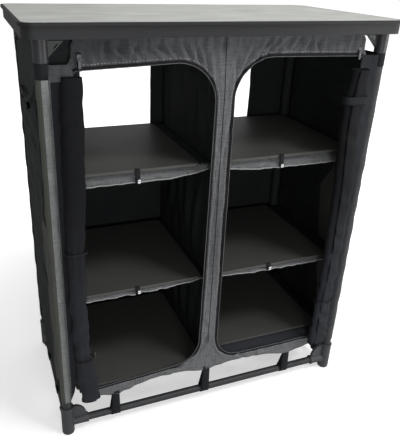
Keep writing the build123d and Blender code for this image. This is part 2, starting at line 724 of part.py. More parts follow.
slider_middle_x = slider_x - slider_width / 2
lug_gap = pull_width + 2 * lug_ease
pin_height = slider_height - slider_length / 4
pin_out = tape_face + slider_thickness + pull_eye_diameter / 2 + pull_clear
with BuildPart() as zip_sliders:
    for side in sides.values():
        with BuildSketch(Plane.XZ.offset(tape_face)):
            with Locations((side * slider_middle_x, slider_height)):
                RectangleRounded(slider_width, slider_length, 2.5)
        extrude(amount=slider_thickness)
        with BuildSketch(Plane.XZ.offset(tape_face)):
            with Locations(*[(side * slider_middle_x + way * (lug_gap + slider_lug_width) / 2, pin_height)
                             for way in (-1, 1)]):
                Rectangle(slider_lug_width, pull_eye_diameter)
        extrude(amount=pin_out - tape_face + slider_pin_diameter / 2 + pin_cover)
        with BuildSketch(Plane.YZ.offset(side * slider_middle_x)):
            with Locations((-pin_out, pin_height)):
                Circle(slider_pin_diameter / 2)
        extrude(amount=(lug_gap + slider_lug_width) / 2, both=True)
zip_sliders.part.label = "zip_sliders"
export_step(zip_sliders.part, "parts/zip_sliders.step")

for name, side in sides.items():
    with BuildPart() as pull:
        with BuildSketch(Plane.YZ.offset(side * slider_middle_x)):
            with Locations((-pin_out, pin_height)):
                Circle(pull_eye_diameter / 2)
            with Locations((-pin_out, pin_height - pull_length / 2)):
                Rectangle(pull_thickness, pull_length)
            with Locations((-pin_out, pin_height)):
                Circle(slider_pin_diameter / 2 + pin_fit, mode=Mode.SUBTRACT)
        extrude(amount=pull_width / 2, both=True)
        tip = pull.edges().filter_by(Axis.Y).group_by(Axis.Z)[0]
        fillet(tip, radius=pull_width / 3)
    pull.part.label = f"{name}_zip_pull"
    export_step(pull.part, f"parts/{name}_zip_pull.step")


# Door rolls: the outermost layer ends in a step on the front of the roll
def roll_section(side, height, outside, width, depth):
    """A rounded box whose front steps back by one layer on the side of the cupboard's middle."""
    right = width / 2
    back = depth / 2
    step = width / 5
    outline = [(step, -back), (step, roll_layer - back), (right, roll_layer - back), (right, back),
               (-right, back), (-right, -back)]
    radii = 2 * [roll_layer_radius] + 4 * [roll_round]
    middle = side * (door_hinge_reach + outside)
    with BuildSketch(Plane((middle, roll_y, height))) as section:
        with BuildLine():
            FilletPolyline(*[(-side * x, y) for x, y in outline], radius=radii, close=True)
        make_face()
    return section.sketch


rolls = {"left": (-1, left_roll, left_ties), "right": (1, right_roll, right_ties)}
for name, (side, sections, ties) in rolls.items():
    with BuildPart() as roll:
        loft([roll_section(side, *section) for section in sections], ruled=True)
        seam_ends = [roll_seam_bottom]
        for index, tie_width in ties.items():
            clear = tie_width / 2 + tie_clear
            seam_ends += [sections[index][0] - clear, sections[index][0] + clear]
        seam_ends.append(sections[-1][0] - roll_seam_top)
        seam_x = side * (door_hinge_reach + roll_seam_inset)
        for low, high in zip(seam_ends[::2], seam_ends[1::2]):
            with BuildSketch(Plane.XY.offset(low)):
                Polygon((seam_x - roll_seam_width / 2, roll_y), (seam_x + roll_seam_width / 2, roll_y),
                        (seam_x + roll_seam_width / 2, -front_face - sewn_gap),
                        (seam_x - roll_seam_width / 2, -front_face - sewn_gap), align=None)
            extrude(amount=high - low)
    roll.part.label = f"{name}_door_roll"
    export_step(roll.part, f"parts/{name}_door_roll.step")

with BuildPart() as door_ties:
    for side, sections, ties in rolls.values():
        for index, tie_width in ties.items():
            tie_height, outside, width, depth = sections[index]
            inner_round = roll_round + tie_ease
            grow = 2 * (tie_ease + tie_thickness)
            tie_low = (side * (door_hinge_reach + outside), roll_y, tie_height - tie_width / 2)
            with BuildSketch(Plane(tie_low)):
                RectangleRounded(width + grow, depth + grow, inner_round + tie_thickness)
                RectangleRounded(width + 2 * tie_ease, depth + 2 * tie_ease, inner_round, mode=Mode.SUBTRACT)
            extrude(amount=tie_width)
door_ties.part.label = "door_ties"
export_step(door_ties.part, "parts/door_ties.step")

tie_height, outside, width, depth = left_roll[min(left_ties)]
toggle_x = width / 2 + tie_ease + tie_thickness + sewn_gap + toggle_diameter / 2 - door_hinge_reach - outside
with BuildPart() as tie_toggle:
    with BuildSketch(Plane((toggle_x, roll_y, tie_height - toggle_drop))):
        Circle(toggle_diameter / 2)
    extrude(amount=toggle_length)
    fillet(tie_toggle.edges().filter_by(GeomType.CIRCLE), radius=toggle_radius)
tie_toggle.part.label = "tie_toggle"
export_step(tie_toggle.part, "parts/tie_toggle.step")


# Hem straps: a webbing loop round a bottom rail, sewn to the hem above it
def strap_outline(rail_point, outward, along, low):
    """The strap seen along its rail: a loop with a flat run up to the hem."""
    rise = low - sewn_gap - bottom_rail_height
    start = Vector(*rail_point) - Vector(*along) * (hem_strap_width / 2)
    with BuildSketch(Plane(start, x_dir=outward, z_dir=along)) as outline:
        Circle(strap_inner + hem_strap_thickness + hem_strap_lap)
        with Locations((strap_inner + (hem_strap_lap + hem_strap_thickness) / 2, rise / 2)):
            Rectangle(hem_strap_thickness, rise)
        Circle(strap_inner, mode=Mode.SUBTRACT)
    return outline.sketch


with BuildPart() as front_hem_straps:
    for x, low in zip(front_strap_x, front_hem_low):
        extrude(strap_outline((x, -leg_y, bottom_rail_height), (0, -1, 0), (-1, 0, 0), low),
                amount=hem_strap_width)
front_hem_straps.part.label = "front_hem_straps"
export_step(front_hem_straps.part, "parts/front_hem_straps.step")

with BuildPart() as back_and_side_hem_straps:
    for x in front_strap_x:
        extrude(strap_outline((x, leg_y, bottom_rail_height), (0, 1, 0), (1, 0, 0), back_hem_height),
                amount=hem_strap_width)
    for side in sides.values():
        for y in side_strap_y:
            extrude(strap_outline((side * leg_x, y, bottom_rail_height), (side, 0, 0), (0, -side, 0),
                                  side_hem_height), amount=hem_strap_width)
back_and_side_hem_straps.part.label = "back_and_side_hem_straps"
export_step(back_and_side_hem_straps.part, "parts/back_and_side_hem_straps.step")
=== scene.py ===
# %% [markdown]
# A camping cupboard: a tube frame with a cloth cover, six compartments and a lift-off tabletop.
# The frame file holds every solid in its true place, in metres, so each piece of cloth that is
# made here is laid over the solid that it stands for.

# %% Load the frame
import math
import random
import bpy
import numpy as np
from mathutils import Matrix, Vector
from mathutils.geometry import delaunay_2d_cdt


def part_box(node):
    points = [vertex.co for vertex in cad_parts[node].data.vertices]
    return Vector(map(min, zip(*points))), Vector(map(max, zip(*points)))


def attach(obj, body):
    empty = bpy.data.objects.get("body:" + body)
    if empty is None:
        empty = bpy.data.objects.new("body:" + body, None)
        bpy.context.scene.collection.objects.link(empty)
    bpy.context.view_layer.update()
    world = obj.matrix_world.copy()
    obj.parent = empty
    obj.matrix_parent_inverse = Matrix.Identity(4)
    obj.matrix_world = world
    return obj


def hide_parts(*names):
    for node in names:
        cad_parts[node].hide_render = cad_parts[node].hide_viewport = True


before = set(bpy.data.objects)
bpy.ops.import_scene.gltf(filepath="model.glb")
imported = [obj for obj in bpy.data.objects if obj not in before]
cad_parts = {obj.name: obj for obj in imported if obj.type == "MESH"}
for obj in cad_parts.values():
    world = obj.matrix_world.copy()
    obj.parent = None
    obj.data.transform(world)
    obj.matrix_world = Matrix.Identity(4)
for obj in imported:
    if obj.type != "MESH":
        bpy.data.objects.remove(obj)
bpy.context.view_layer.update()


# %% [markdown]
# The camera stands where the photographer stood: left of the cupboard, a little above the
# tabletop, looking down. Its matrix is built from three directions, because that shows what a
# camera is: a point, a way to look and a way that is up.

# %% Camera
def add_object(name, data):
    """A new object in the scene."""
    thing = bpy.data.objects.new(name, data)
    bpy.context.scene.collection.objects.link(thing)
    return thing


image_width, image_height = 400, 438
optical_centre = (177.4, 208)
focal_length = 530.3
sensor_side = 36
azimuth, elevation, roll = (math.radians(angle) for angle in (-21.548, 24.749, -1.919))
forward = Vector((-math.sin(azimuth) * math.cos(elevation), math.cos(azimuth) * math.cos(elevation),
                  -math.sin(elevation)))
level_right = Vector((math.cos(azimuth), math.sin(azimuth), 0))
level_down = forward.cross(level_right)
right = level_right * math.cos(roll) + level_down * math.sin(roll)
down = level_down * math.cos(roll) - level_right * math.sin(roll)
lens = bpy.data.cameras.new("camera")
lens.sensor_width = sensor_side
lens.lens = focal_length / image_height * sensor_side
lens.shift_x = (image_width / 2 - optical_centre[0]) / image_height
lens.shift_y = (optical_centre[1] - image_height / 2) / image_height
camera = add_object("camera", lens)
turned = Matrix((right, -down, -forward)).transposed().to_4x4()
camera.matrix_world = Matrix.Translation((-0.541, -1.282, 1.167)) @ turned
bpy.context.scene.camera = camera
print("lens", round(lens.lens, 2), "mm")


# %% [markdown]
# Colours are written as a colour picker gives them, from 0 to 255, and turned into the linear
# values that shaders use. The picture then shows about the colour that was written.

# %% Colour helper and view
def shade(red, green, blue):
    """A picked colour as linear values with alpha."""
    parts = [value / 255 for value in (red, green, blue)]
    return (*[v / 12.92 if v <= 0.04045 else ((v + 0.055) / 1.055) ** 2.4 for v in parts], 1)


bpy.context.scene.view_settings.view_transform = "Standard"


# %% [markdown]
# A shader is a tree of nodes. These helpers join two sockets, add a node and start a node group,
# which is a small tree with named inputs and outputs that several materials share.

# %% Node helpers
def join(tree, source, target):
    """Link two sockets, or set the target to a plain value."""
    if hasattr(source, "is_output"):
        tree.links.new(source, target)
    else:
        target.default_value = source


def add_node(tree, kind, **values):
    """A node of a kind, with some of its settings and inputs set or linked."""
    node = tree.nodes.new("ShaderNode" + kind)
    for key, value in values.items():
        if hasattr(node, key):
            setattr(node, key, value)
        else:
            join(tree, value, node.inputs[key.replace("_", " ").title()])
    return node


def calc(tree, operation, *values):
    """One Math node."""
    node = add_node(tree, "Math", operation=operation)
    for value, socket in zip(values, node.inputs):
        join(tree, value, socket)
    return node.outputs[0]


def blend_colours(tree, factor, first, second):
    """A mix of two colours by a factor."""
    node = add_node(tree, "Mix", data_type="RGBA")
    for value, socket in zip((factor, first, second), (0, 6, 7)):
        join(tree, value, node.inputs[socket])
    return node.outputs[2]


def stretched_noise(tree, across, along, vector, detail=2.0):
    """Noise with different sizes in the two directions of a sheet."""
    scaled = add_node(tree, "Mapping", vector=vector, scale=(across, along, 1)).outputs[0]
    return add_node(tree, "TexNoise", vector=scaled, scale=1.0, detail=detail).outputs["Fac"]


def new_group(name, inputs, outputs):
    """An empty shader group with named sockets. Returns the tree, its inputs and its outputs."""
    tree = bpy.data.node_groups.new(name, "ShaderNodeTree")
    kinds = {"colour": "NodeSocketColor", "value": "NodeSocketFloat"}
    for label, kind, value in inputs:
        socket = tree.interface.new_socket(label, in_out="INPUT", socket_type=kinds[kind])
        socket.default_value = value
    for label, kind in outputs:
        tree.interface.new_socket(label, in_out="OUTPUT", socket_type=kinds[kind])
    return tree, tree.nodes.new("NodeGroupInput").outputs, tree.nodes.new("NodeGroupOutput").inputs


# %% [markdown]
# Heather cloth is woven from yarns that are dyed light and dark, so it shows short streaks along
# both thread directions. Noises that are pulled long in one direction give those streaks. The
# sheets carry their own flat cut as UV coordinates, so the threads follow every bend of the cloth.

# %% Heather yarn group
heather, given, gives = new_group(
    "heather_yarn",
    [("Dark Yarn", "colour", shade(60, 61, 63)), ("Light Yarn", "colour", shade(130, 132, 132)),
     ("Contrast", "value", 1.0)],
    [("Color", "colour"), ("Height", "value")])
cut = add_node(heather, "TexCoord").outputs["UV"]
streaks = -2.0
for across, along in ((420, 26), (1500, 160), (26, 420), (160, 1500)):
    streaks = calc(heather, "ADD", streaks, stretched_noise(heather, across, along, cut))
streaks = calc(heather, "MULTIPLY", streaks, given["Contrast"])
mask = add_node(heather, "Clamp", value=calc(heather, "MULTIPLY_ADD", streaks, 1.1, 0.5)).outputs[0]
join(heather, blend_colours(heather, mask, given["Dark Yarn"], given["Light Yarn"]), gives["Color"])
join(heather, mask, gives["Height"])
print("group", heather.name, "has", len(heather.nodes), "nodes")

# %% [markdown]
# Every woven cloth has a fine relief where threads cross. Two sine waves, one for each thread
# direction, give it. The group puts out a height, which a Bump node in the material uses.

# %% Thread relief group
threads, given, gives = new_group("thread_relief", [("Pitch", "value", 0.0009)], [("Height", "value")])
split = add_node(threads, "SeparateXYZ", vector=add_node(threads, "TexCoord").outputs["UV"])
waves = []
for side in (0, 1):
    turns = calc(threads, "DIVIDE", split.outputs[side], given["Pitch"])
    waves.append(calc(threads, "SINE", calc(threads, "MULTIPLY", turns, 2 * math.pi)))
crossing = calc(threads, "MULTIPLY", *waves)
join(threads, calc(threads, "MULTIPLY_ADD", crossing, 0.5, 0.5), gives["Height"])
print("group", threads.name, "has", len(threads.nodes), "nodes")

# %% [markdown]
# Dark surfaces look dead when they have one colour. This group gives a soft cloudy mask, as dust,
# handling and slight fading leave it, and a finer one for the grain of moulded or painted parts.

# %% Handling and grain group
handling, given, gives = new_group(
    "handling_and_grain", [("Cloud Size", "value", 9.0), ("Grain Size", "value", 900.0)],
    [("Clouds", "value"), ("Grain", "value")])
spot = add_node(handling, "TexCoord").outputs["Object"]
clouds = add_node(handling, "TexNoise", vector=spot, scale=given["Cloud Size"], detail=4.0, roughness=0.6)
grain = add_node(handling, "TexNoise", vector=spot, scale=given["Grain Size"], detail=2.0)
join(handling, clouds.outputs["Fac"], gives["Clouds"])
join(handling, grain.outputs["Fac"], gives["Grain"])

# %% [markdown]
# Edges of painted and moulded parts are rubbed first. Geometry's Pointiness is bright on convex
# edges, and a noise breaks it up, so the wear comes in patches.

# %% Edge wear group
wear, given, gives = new_group(
    "edge_wear", [("Reach", "value", 0.52), ("Patch Size", "value", 60.0)], [("Mask", "value")])
point = add_node(wear, "NewGeometry").outputs["Pointiness"]
spot = add_node(wear, "TexCoord").outputs["Object"]
patch = add_node(wear, "TexNoise", vector=spot, scale=given["Patch Size"], detail=3.0).outputs["Fac"]
sharp = calc(wear, "MULTIPLY", calc(wear, "SUBTRACT", point, given["Reach"]), 9.0)
limited = add_node(wear, "Clamp", value=calc(wear, "MULTIPLY", sharp, patch))
join(wear, limited.outputs[0], gives["Mask"])


# %% [markdown]
# Each material is a Principled shader, whose plain numbers are set on it directly. What changes
# over the surface, such as colour, roughness and relief, comes from the groups.

# %% Material helpers
def new_material(name, roughness, specular=0.5, **numbers):
    """A material with a Principled shader. Returns the material, its tree and the shader's inputs."""
    material = bpy.data.materials.new(name)
    material.use_nodes = True
    tree = material.node_tree
    shader = tree.nodes["Principled BSDF"].inputs
    shader["Roughness"].default_value = roughness
    shader["Specular IOR Level"].default_value = specular
    for key, value in numbers.items():
        shader[key.replace("_", " ").title()].default_value = value
    return material, tree, shader


def use_group(tree, group, **values):
    """A shared group placed in a material, with its own values."""
    return add_node(tree, "Group", node_tree=group, **values).outputs


def relief(tree, shader, height, distance, strength):
    """A Bump node from a height to the shader's Normal."""
    bump = add_node(tree, "Bump", strength=strength, distance=distance)
    join(tree, height, bump.inputs["Height"])
    join(tree, bump.outputs["Normal"], shader["Normal"])


def colour_cloth(tree, shader, colour, dark):
    """Colour a cloth, and blend it towards a dark colour as painted shade where the sheet's "shaded"
    attribute asks.
    """
    # Painted shade: the "shaded" attribute blends the cloth towards the dark shade colour.
    kept = add_node(tree, "Attribute", attribute_name="shaded").outputs["Fac"]
    join(tree, blend_colours(tree, kept, colour, shade(*dark)), shader["Base Color"])


# %% [markdown]
# The cover has grey heather on its front and a plain black weave for the rest. The two front legs'
# sleeves have a lit and a shaded copy of the heather: the left one is painted light and the right one
# painted shade. All of it is coated polyester, which is matt and reflects very little.

# %% Cloth materials
def make_heather(name, dark, light, contrast):
    """Heather cloth from two yarn colours."""
    material, tree, shader = new_material(name, 0.9, 0.15, sheen_weight=0.05, sheen_roughness=0.5)
    yarn = use_group(tree, heather, dark_yarn=shade(*dark), light_yarn=shade(*light), contrast=contrast)
    weave = use_group(tree, threads, pitch=0.0011)
    # The colour (34, 35, 37) is the painted shade that the "shaded" attribute blends in.
    colour_cloth(tree, shader, yarn["Color"], (34, 35, 37))
    relief(tree, shader, calc(tree, "ADD", yarn["Height"], weave["Height"]), 0.0004, 0.6)
    return material


def make_plain_cloth(name, colour, faded, roughness=0.8):
    """Plain woven cloth in one colour that fades a little in clouds."""
    material, tree, shader = new_material(name, roughness, 0.12)
    clouds = use_group(tree, handling, cloud_size=11.0)["Clouds"]
    weave = use_group(tree, threads, pitch=0.0008)
    # The colour (13, 14, 16) is the painted shade that the "shaded" attribute blends in.
    colour_cloth(tree, shader, blend_colours(tree, clouds, shade(*colour), shade(*faded)), (13, 14, 16))
    relief(tree, shader, weave["Height"], 0.0003, 0.5)
    return material


grey_heather = make_heather("grey_heather_cloth", (60, 61, 63), (112, 113, 114), 0.9)
# Painted light on the left sleeve's heather and painted shade on the right sleeve's heather.
lit_left_leg_heather = make_heather("left_leg_heather_cloth", (84, 85, 86), (146, 147, 147), 0.7)
shaded_right_leg_heather = make_heather("right_leg_heather_cloth", (40, 41, 43), (76, 77, 78), 0.7)
# Painted light: the hem piping is a lighter copy of the heather, for the light that the rolled hem catches.
lit_hem_piping = make_heather("hem_piping_cloth", (96, 97, 98), (168, 169, 169), 0.6)
black_weave = make_plain_cloth("black_cover_cloth", (33, 35, 36), (43, 45, 46))
roll_weave = make_plain_cloth("black_door_cloth", (26, 27, 31), (42, 43, 48), 0.72)
# Painted light: a lighter copy of the black cloth for the strip beside the front legs that catches the light.
lit_black_weave = make_plain_cloth("black_cloth_painted_lit", (66, 68, 64), (80, 82, 76))
band_webbing = make_plain_cloth("black_webbing", (20, 21, 23), (32, 33, 36), 0.7)
tape_weave = make_plain_cloth("black_zip_tape", (16, 16, 18), (26, 26, 28), 0.7)
stitch_thread = make_plain_cloth("pale_stitch_thread", (128, 129, 130), (150, 151, 151), 0.6)


# %% [markdown]
# The hard parts: stone-grey laminate, a matt black edge profile, dark painted tubes, moulded
# plastic feet, black stiffener boards, the zips' coils and sliders, and four buckles whose pale colour is a
# painted glint.

# %% Hard materials
def make_hard(name, colour, rubbed, roughness, grain_size, grain_depth, **numbers):
    """Painted metal or moulded plastic, rubbed pale on its edges."""
    material, tree, shader = new_material(name, roughness, 0.3, **numbers)
    marks = use_group(tree, handling, cloud_size=7.0, grain_size=grain_size)
    edge = use_group(tree, wear, patch_size=80.0)
    base = blend_colours(tree, calc(tree, "MULTIPLY", marks["Clouds"], 0.35), shade(*colour), shade(*rubbed))
    rubs = calc(tree, "MULTIPLY", edge["Mask"], 0.5)
    join(tree, blend_colours(tree, rubs, base, shade(*rubbed)), shader["Base Color"])
    join(tree, calc(tree, "MULTIPLY_ADD", marks["Clouds"], 0.16, roughness - 0.08), shader["Roughness"])
    relief(tree, shader, marks["Grain"], grain_depth, 0.5)
    return material


def make_laminate():
    """Stone-grey laminate with faint cloudy streaks along the tabletop."""
    material, tree, shader = new_material("stone_grey_laminate", 0.42)
    spot = add_node(tree, "TexCoord").outputs["Object"]
    streak = stretched_noise(tree, 9, 34, spot, 6.0)
    speck = stretched_noise(tree, 160, 420, spot, 3.0)
    cloudy = calc(tree, "MULTIPLY_ADD", streak, 2.4, -0.7)
    base = blend_colours(tree, cloudy, shade(164, 166, 160), shade(202, 204, 198))
    specks = calc(tree, "MULTIPLY", speck, 0.22)
    join(tree, blend_colours(tree, specks, base, shade(132, 134, 130)), shader["Base Color"])
    join(tree, calc(tree, "MULTIPLY_ADD", streak, 0.14, 0.36), shader["Roughness"])
    relief(tree, shader, speck, 0.0002, 0.3)
    return material


laminate = make_laminate()
profile_plastic = make_hard("matt_black_edge_profile", (18, 19, 21), (42, 43, 45), 0.6, 1400.0, 0.0002)
tube_paint = make_hard("dark_grey_tube_paint", (28, 29, 31), (60, 61, 63), 0.46, 1800.0, 0.0001)
connector_plastic = make_hard("moulded_connector_plastic", (50, 51, 53), (78, 79, 81), 0.52, 1100.0, 0.0003)
board_face = make_hard("black_stiffener_board", (60, 60, 58), (76, 76, 73), 0.5, 700.0, 0.0002)
black_plastic = make_hard("black_plastic", (26, 26, 28), (66, 67, 69), 0.45, 1100.0, 0.0002)
coil_plastic = make_hard("grey_coil_teeth", (74, 75, 77), (112, 113, 115), 0.4, 1400.0, 0.0001)
zip_metal = make_hard("grey_zip_metal", (62, 63, 65), (110, 111, 112), 0.45, 1600.0, 0.0001, metallic=0.7)
# Painted glint: the buckles are coloured pale for the glints on them.
buckle_painted_glint = make_hard("pale_buckle_plastic", (196, 197, 198), (232, 232, 232), 0.35, 1600.0, 0.0001)
screw_steel = make_hard("steel", (170, 170, 172), (210, 210, 210), 0.3, 1600.0, 0.0001, metallic=1.0)


# %% Paint the rigid solids
sides = (("left", -1), ("right", 1))
corner_ways = {f"{y}_{x}": (way_x, way_y)
               for y, way_y in (("front", -1), ("back", 1)) for x, way_x in sides}
shelf_names = [f"{side}_{level}" for side, _ in sides for level in ("upper", "middle", "floor")]
finishes = {"tabletop_board": laminate, "tabletop_edge_frame": profile_plastic,
            "tabletop_sockets": black_plastic, "tabletop_screws": screw_steel, "tie_toggle": black_plastic,
            "strap_buckles": buckle_painted_glint, "zip_sliders": zip_metal, "left_zip_pull": zip_metal,
            "right_zip_pull": zip_metal}
for name in corner_ways:
    finishes.update({"leg_" + name: tube_paint, "top_connector_" + name: tube_paint,
                     "foot_" + name: connector_plastic})
for name in ("front", "back", "left", "right"):
    finishes.update({"bottom_rail_" + name: tube_paint, "top_rail_" + name: tube_paint})
for name in shelf_names:
    finishes[name + "_board"] = board_face
for node, material in finishes.items():
    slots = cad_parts[node].data.materials
    if not slots:
        slots.append(material)
    for index in range(len(slots)):
        slots[index] = material
print(len(finishes), "solids painted")


# %% [markdown]
# Cloth is cut flat and then shaped, as on a sewing table. A cut is an outline with holes, filled
# with fine triangles by a constrained Delaunay triangulation, so that its edges stay clean and
# there are enough points inside to carry folds. The flat cut is also kept as the UV map.

# %% Cutting cloth
def divided(loop, step, closed=True):
    """More points along an outline, or along an open line, no further apart than step."""
    points = []
    for start, end in zip(loop, loop[1:] + (loop[:1] if closed else [])):
        count = max(1, math.ceil(math.dist(start, end) / step))
        for i in range(count):
            part = i / count
            points.append((start[0] + (end[0] - start[0]) * part, start[1] + (end[1] - start[1]) * part))
    return points if closed else points + [loop[-1]]


def inside(points, loop):
    """Which points lie inside a closed outline, counted by crossings."""
    x, y = points.T
    within = np.zeros(len(points), bool)
    for (x1, y1), (x2, y2) in zip(loop, loop[1:] + loop[:1]):
        if y1 != y2:
            within ^= ((y1 > y) != (y2 > y)) & (x < (x2 - x1) * (y - y1) / (y2 - y1) + x1)
    return within


def edge_distance(u, v, loop):
    """How far each point is from a closed outline."""
    nearest = np.full(len(u), 1e9)
    for (x1, y1), (x2, y2) in zip(loop, loop[1:] + loop[:1]):
        dx, dy = x2 - x1, y2 - y1
        part = np.clip(((u - x1) * dx + (v - y1) * dy) / (dx * dx + dy * dy + 1e-12), 0, 1)
        nearest = np.minimum(nearest, np.hypot(u - x1 - part * dx, v - y1 - part * dy))
    return nearest


def cut_cloth(outline, spacing, holes=(), seams=()):
    """Flat points and triangles of a cut with holes. Triangles keep to one side of each seam."""
    loops = [divided(list(loop), spacing) for loop in [outline, *holes]]
    lines = [divided(list(seam), spacing, closed=False) for seam in seams]
    low, high = np.min(loops[0], 0), np.max(loops[0], 0)
    rows = np.arange(low[1], high[1], spacing * 0.866)
    columns = np.arange(low[0], high[0], spacing)
    grid = np.array([(x + (row % 2) * spacing / 2, y) for row, y in enumerate(rows) for x in columns])
    keep = inside(grid, loops[0]) & (edge_distance(*grid.T, loops[0]) > spacing / 2)
    for hole in loops[1:]:
        keep &= ~inside(grid, hole) & (edge_distance(*grid.T, hole) > spacing / 2)
    for spot in (spot for line in lines for spot in line):
        keep &= np.hypot(*(grid - spot).T) > spacing / 2
    points = [Vector(p) for loop in loops + lines for p in loop] + [Vector(p) for p in grid[keep]]
    edges, first = [], 0
    for line, closed in [(loop, 1) for loop in loops] + [(line, 0) for line in lines]:
        edges += [(first + i, first + (i + 1) % len(line)) for i in range(len(line) - 1 + closed)]
        first += len(line)
    made, _, faces, *_ = delaunay_2d_cdt(points, edges, [], 0, 1e-7)
    flat = np.array([tuple(p) for p in made])
    middles = np.array([flat[list(face)].mean(0) for face in faces])
    keep = inside(middles, loops[0])
    for hole in loops[1:]:
        keep &= ~inside(middles, hole)
    return flat, [list(face) for face, kept in zip(faces, keep) if kept]


def rounded(corners, radii, steps):
    """A closed outline with its corners rounded off."""
    points = []
    for i, (corner, radius) in enumerate(zip(corners, radii)):
        here = Vector(corner)
        to_before = (Vector(corners[i - 1]) - here).normalized()
        to_after = (Vector(corners[(i + 1) % len(corners)]) - here).normalized()
        half = to_before.angle(to_after) / 2
        centre = here + (to_before + to_after).normalized() * radius / math.sin(half)
        start = here + to_before * radius / math.tan(half) - centre
        end = here + to_after * radius / math.tan(half) - centre
        for k in range(steps + 1):
            points.append(tuple(centre + start.lerp(end, k / steps).normalized() * radius))
    return points


def grid_of(across, along):
    """Both values at every point of a grid, row by row."""
    return [values.ravel() for values in np.meshgrid(across, along)]


def quads(rows, columns, closed=False):
    """Faces of a grid of points. A closed grid joins its last column to its first."""
    return [[j * columns + i, j * columns + (i + 1) % columns,
             (j + 1) * columns + (i + 1) % columns, (j + 1) * columns + i]
            for j in range(rows - 1) for i in range(columns - 1 + closed)]


def flipped(faces):
    """The same faces seen from the other side."""
    return [face[::-1] for face in faces]


# %% [markdown]
# Folds come in two kinds here: random soft waves, and single creases between two points. Each is a
# height over the flat cut, and they are added up.

# %% Folds
def ripples(u, v, seed, size, across=0.0, spread=math.pi, count=9):
    """Soft random waves: size is their usual length, across the direction that they travel in."""
    dice = random.Random(seed)
    total = np.zeros_like(u)
    for _ in range(count):
        way = across + dice.uniform(-spread / 2, spread / 2)
        pace = 2 * math.pi / (size * dice.uniform(0.7, 1.5))
        total += np.cos(pace * (u * math.cos(way) + v * math.sin(way)) + dice.uniform(0, 2 * math.pi))
    return total / math.sqrt(count)


def crease(u, v, start, end, width, height):
    """One long soft ridge, or a valley where the height is negative."""
    dx, dy = end[0] - start[0], end[1] - start[1]
    length = math.hypot(dx, dy)
    along = ((u - start[0]) * dx + (v - start[1]) * dy) / length ** 2
    aside = ((u - start[0]) * dy - (v - start[1]) * dx) / length
    fade = np.clip(1 - (2 * along - 1) ** 2, 0, 1)
    return height * fade * np.exp(-(aside / width) ** 2)


def creases(u, v, rows):
    """Several creases, each given in millimetres: both ends, the width and the height."""
    total = np.zeros_like(u)
    for row in rows:
        x1, z1, x2, z2, width, height = (value / 1000 for value in row)
        total += crease(u, v, (x1, z1), (x2, z2), width, height)
    return total


def ease(values, low, high):
    """0 below low, 1 above high and smooth between."""
    part = np.clip((values - low) / (high - low), 0, 1)
    return part * part * (3 - 2 * part)


# %% [markdown]
# A finished sheet is a mesh object with smooth shading, the flat cut as its UV map and a Solidify
# modifier for the cloth's thickness. It rides on the cupboard and stands for one of its solids.

# %% Making a sheet
cloth_thickness = 0.0012


def make_mesh(name, points, faces, flat, material):
    """A smooth mesh object whose UV map is the flat cut."""
    mesh = bpy.data.meshes.new(name)
    mesh.from_pydata([tuple(p) for p in points], [], faces)
    layer = mesh.uv_layers.new(name="flat_cut")
    corners = np.empty(len(mesh.loops), int)
    mesh.loops.foreach_get("vertex_index", corners)
    layer.data.foreach_set("uv", np.asarray(flat, float)[corners].ravel())
    mesh.shade_smooth()
    mesh.materials.append(material)
    return add_object(name, mesh)


def dress(piece, node):
    """Let a piece ride on the cupboard and stand for its solid."""
    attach(piece, "cupboard")
    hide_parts(node)
    return piece


def sew(name, points, faces, flat, cloth, thickness, slot, node):
    """A dressed sheet with its thickness."""
    piece = make_mesh(name, points, faces, flat, cloth)
    solid = piece.modifiers.new("thickness", "SOLIDIFY")
    solid.thickness = thickness
    solid.offset = 0.0
    return dress(piece, node)


def hang(name, points, faces, flat, cloth, slot, node, *rests_on):
    piece = sew(name, points, faces, flat, cloth, cloth_thickness, slot, node)
    return piece


def second_cloth(piece, flat, cloth, chosen):
    """Another cloth for the triangles whose middle on the flat cut is chosen."""
    piece.data.materials.append(cloth)
    for face in piece.data.polygons:
        if chosen(*np.mean([flat[i] for i in face.vertices], 0)):
            face.material_index = 1


def paint_shade(piece, shade_amounts):
    """Note how much painted shade each point gets, as the sheet's "shaded" attribute."""
    layer = piece.data.attributes.new("shaded", "FLOAT", "POINT")
    layer.data.foreach_set("value", np.clip(shade_amounts, 0, 1).astype(float))


def make_pipe(name, path, radius, material, slot, node, around=6):
    """A thin round cord along a path. The radius may change from point to point."""
    spots = [Vector(p) for p in path]
    points, flat, place = [], [], 0.0
    for i, (spot, thick) in enumerate(zip(spots, np.broadcast_to(radius, len(spots)))):
        ahead = (spots[min(i + 1, len(spots) - 1)] - spots[max(i - 1, 0)]).normalized()
        first = ahead.cross(Vector((0, 1, 0.01))).normalized()
        second = ahead.cross(first)
        place += (spot - spots[i - 1]).length if i else 0.0
        for turn in (2 * math.pi * k / around for k in range(around)):
            points.append(spot + (first * math.cos(turn) + second * math.sin(turn)) * thick)
            flat.append((turn * 0.002, place))
    ends = [list(range(around)), list(range(len(points) - 1, len(points) - around - 1, -1))]
    faces = [[i * around + k, (i + 1) * around + k, (i + 1) * around + (k + 1) % around,
              i * around + (k + 1) % around] for i in range(len(spots) - 1) for k in range(around)] + ends
    return dress(make_mesh(name, points, faces, flat, material), node)


# %% [markdown]
# The frame gives the places that the cloth has to meet: the legs' axes, the rails and the shelves.

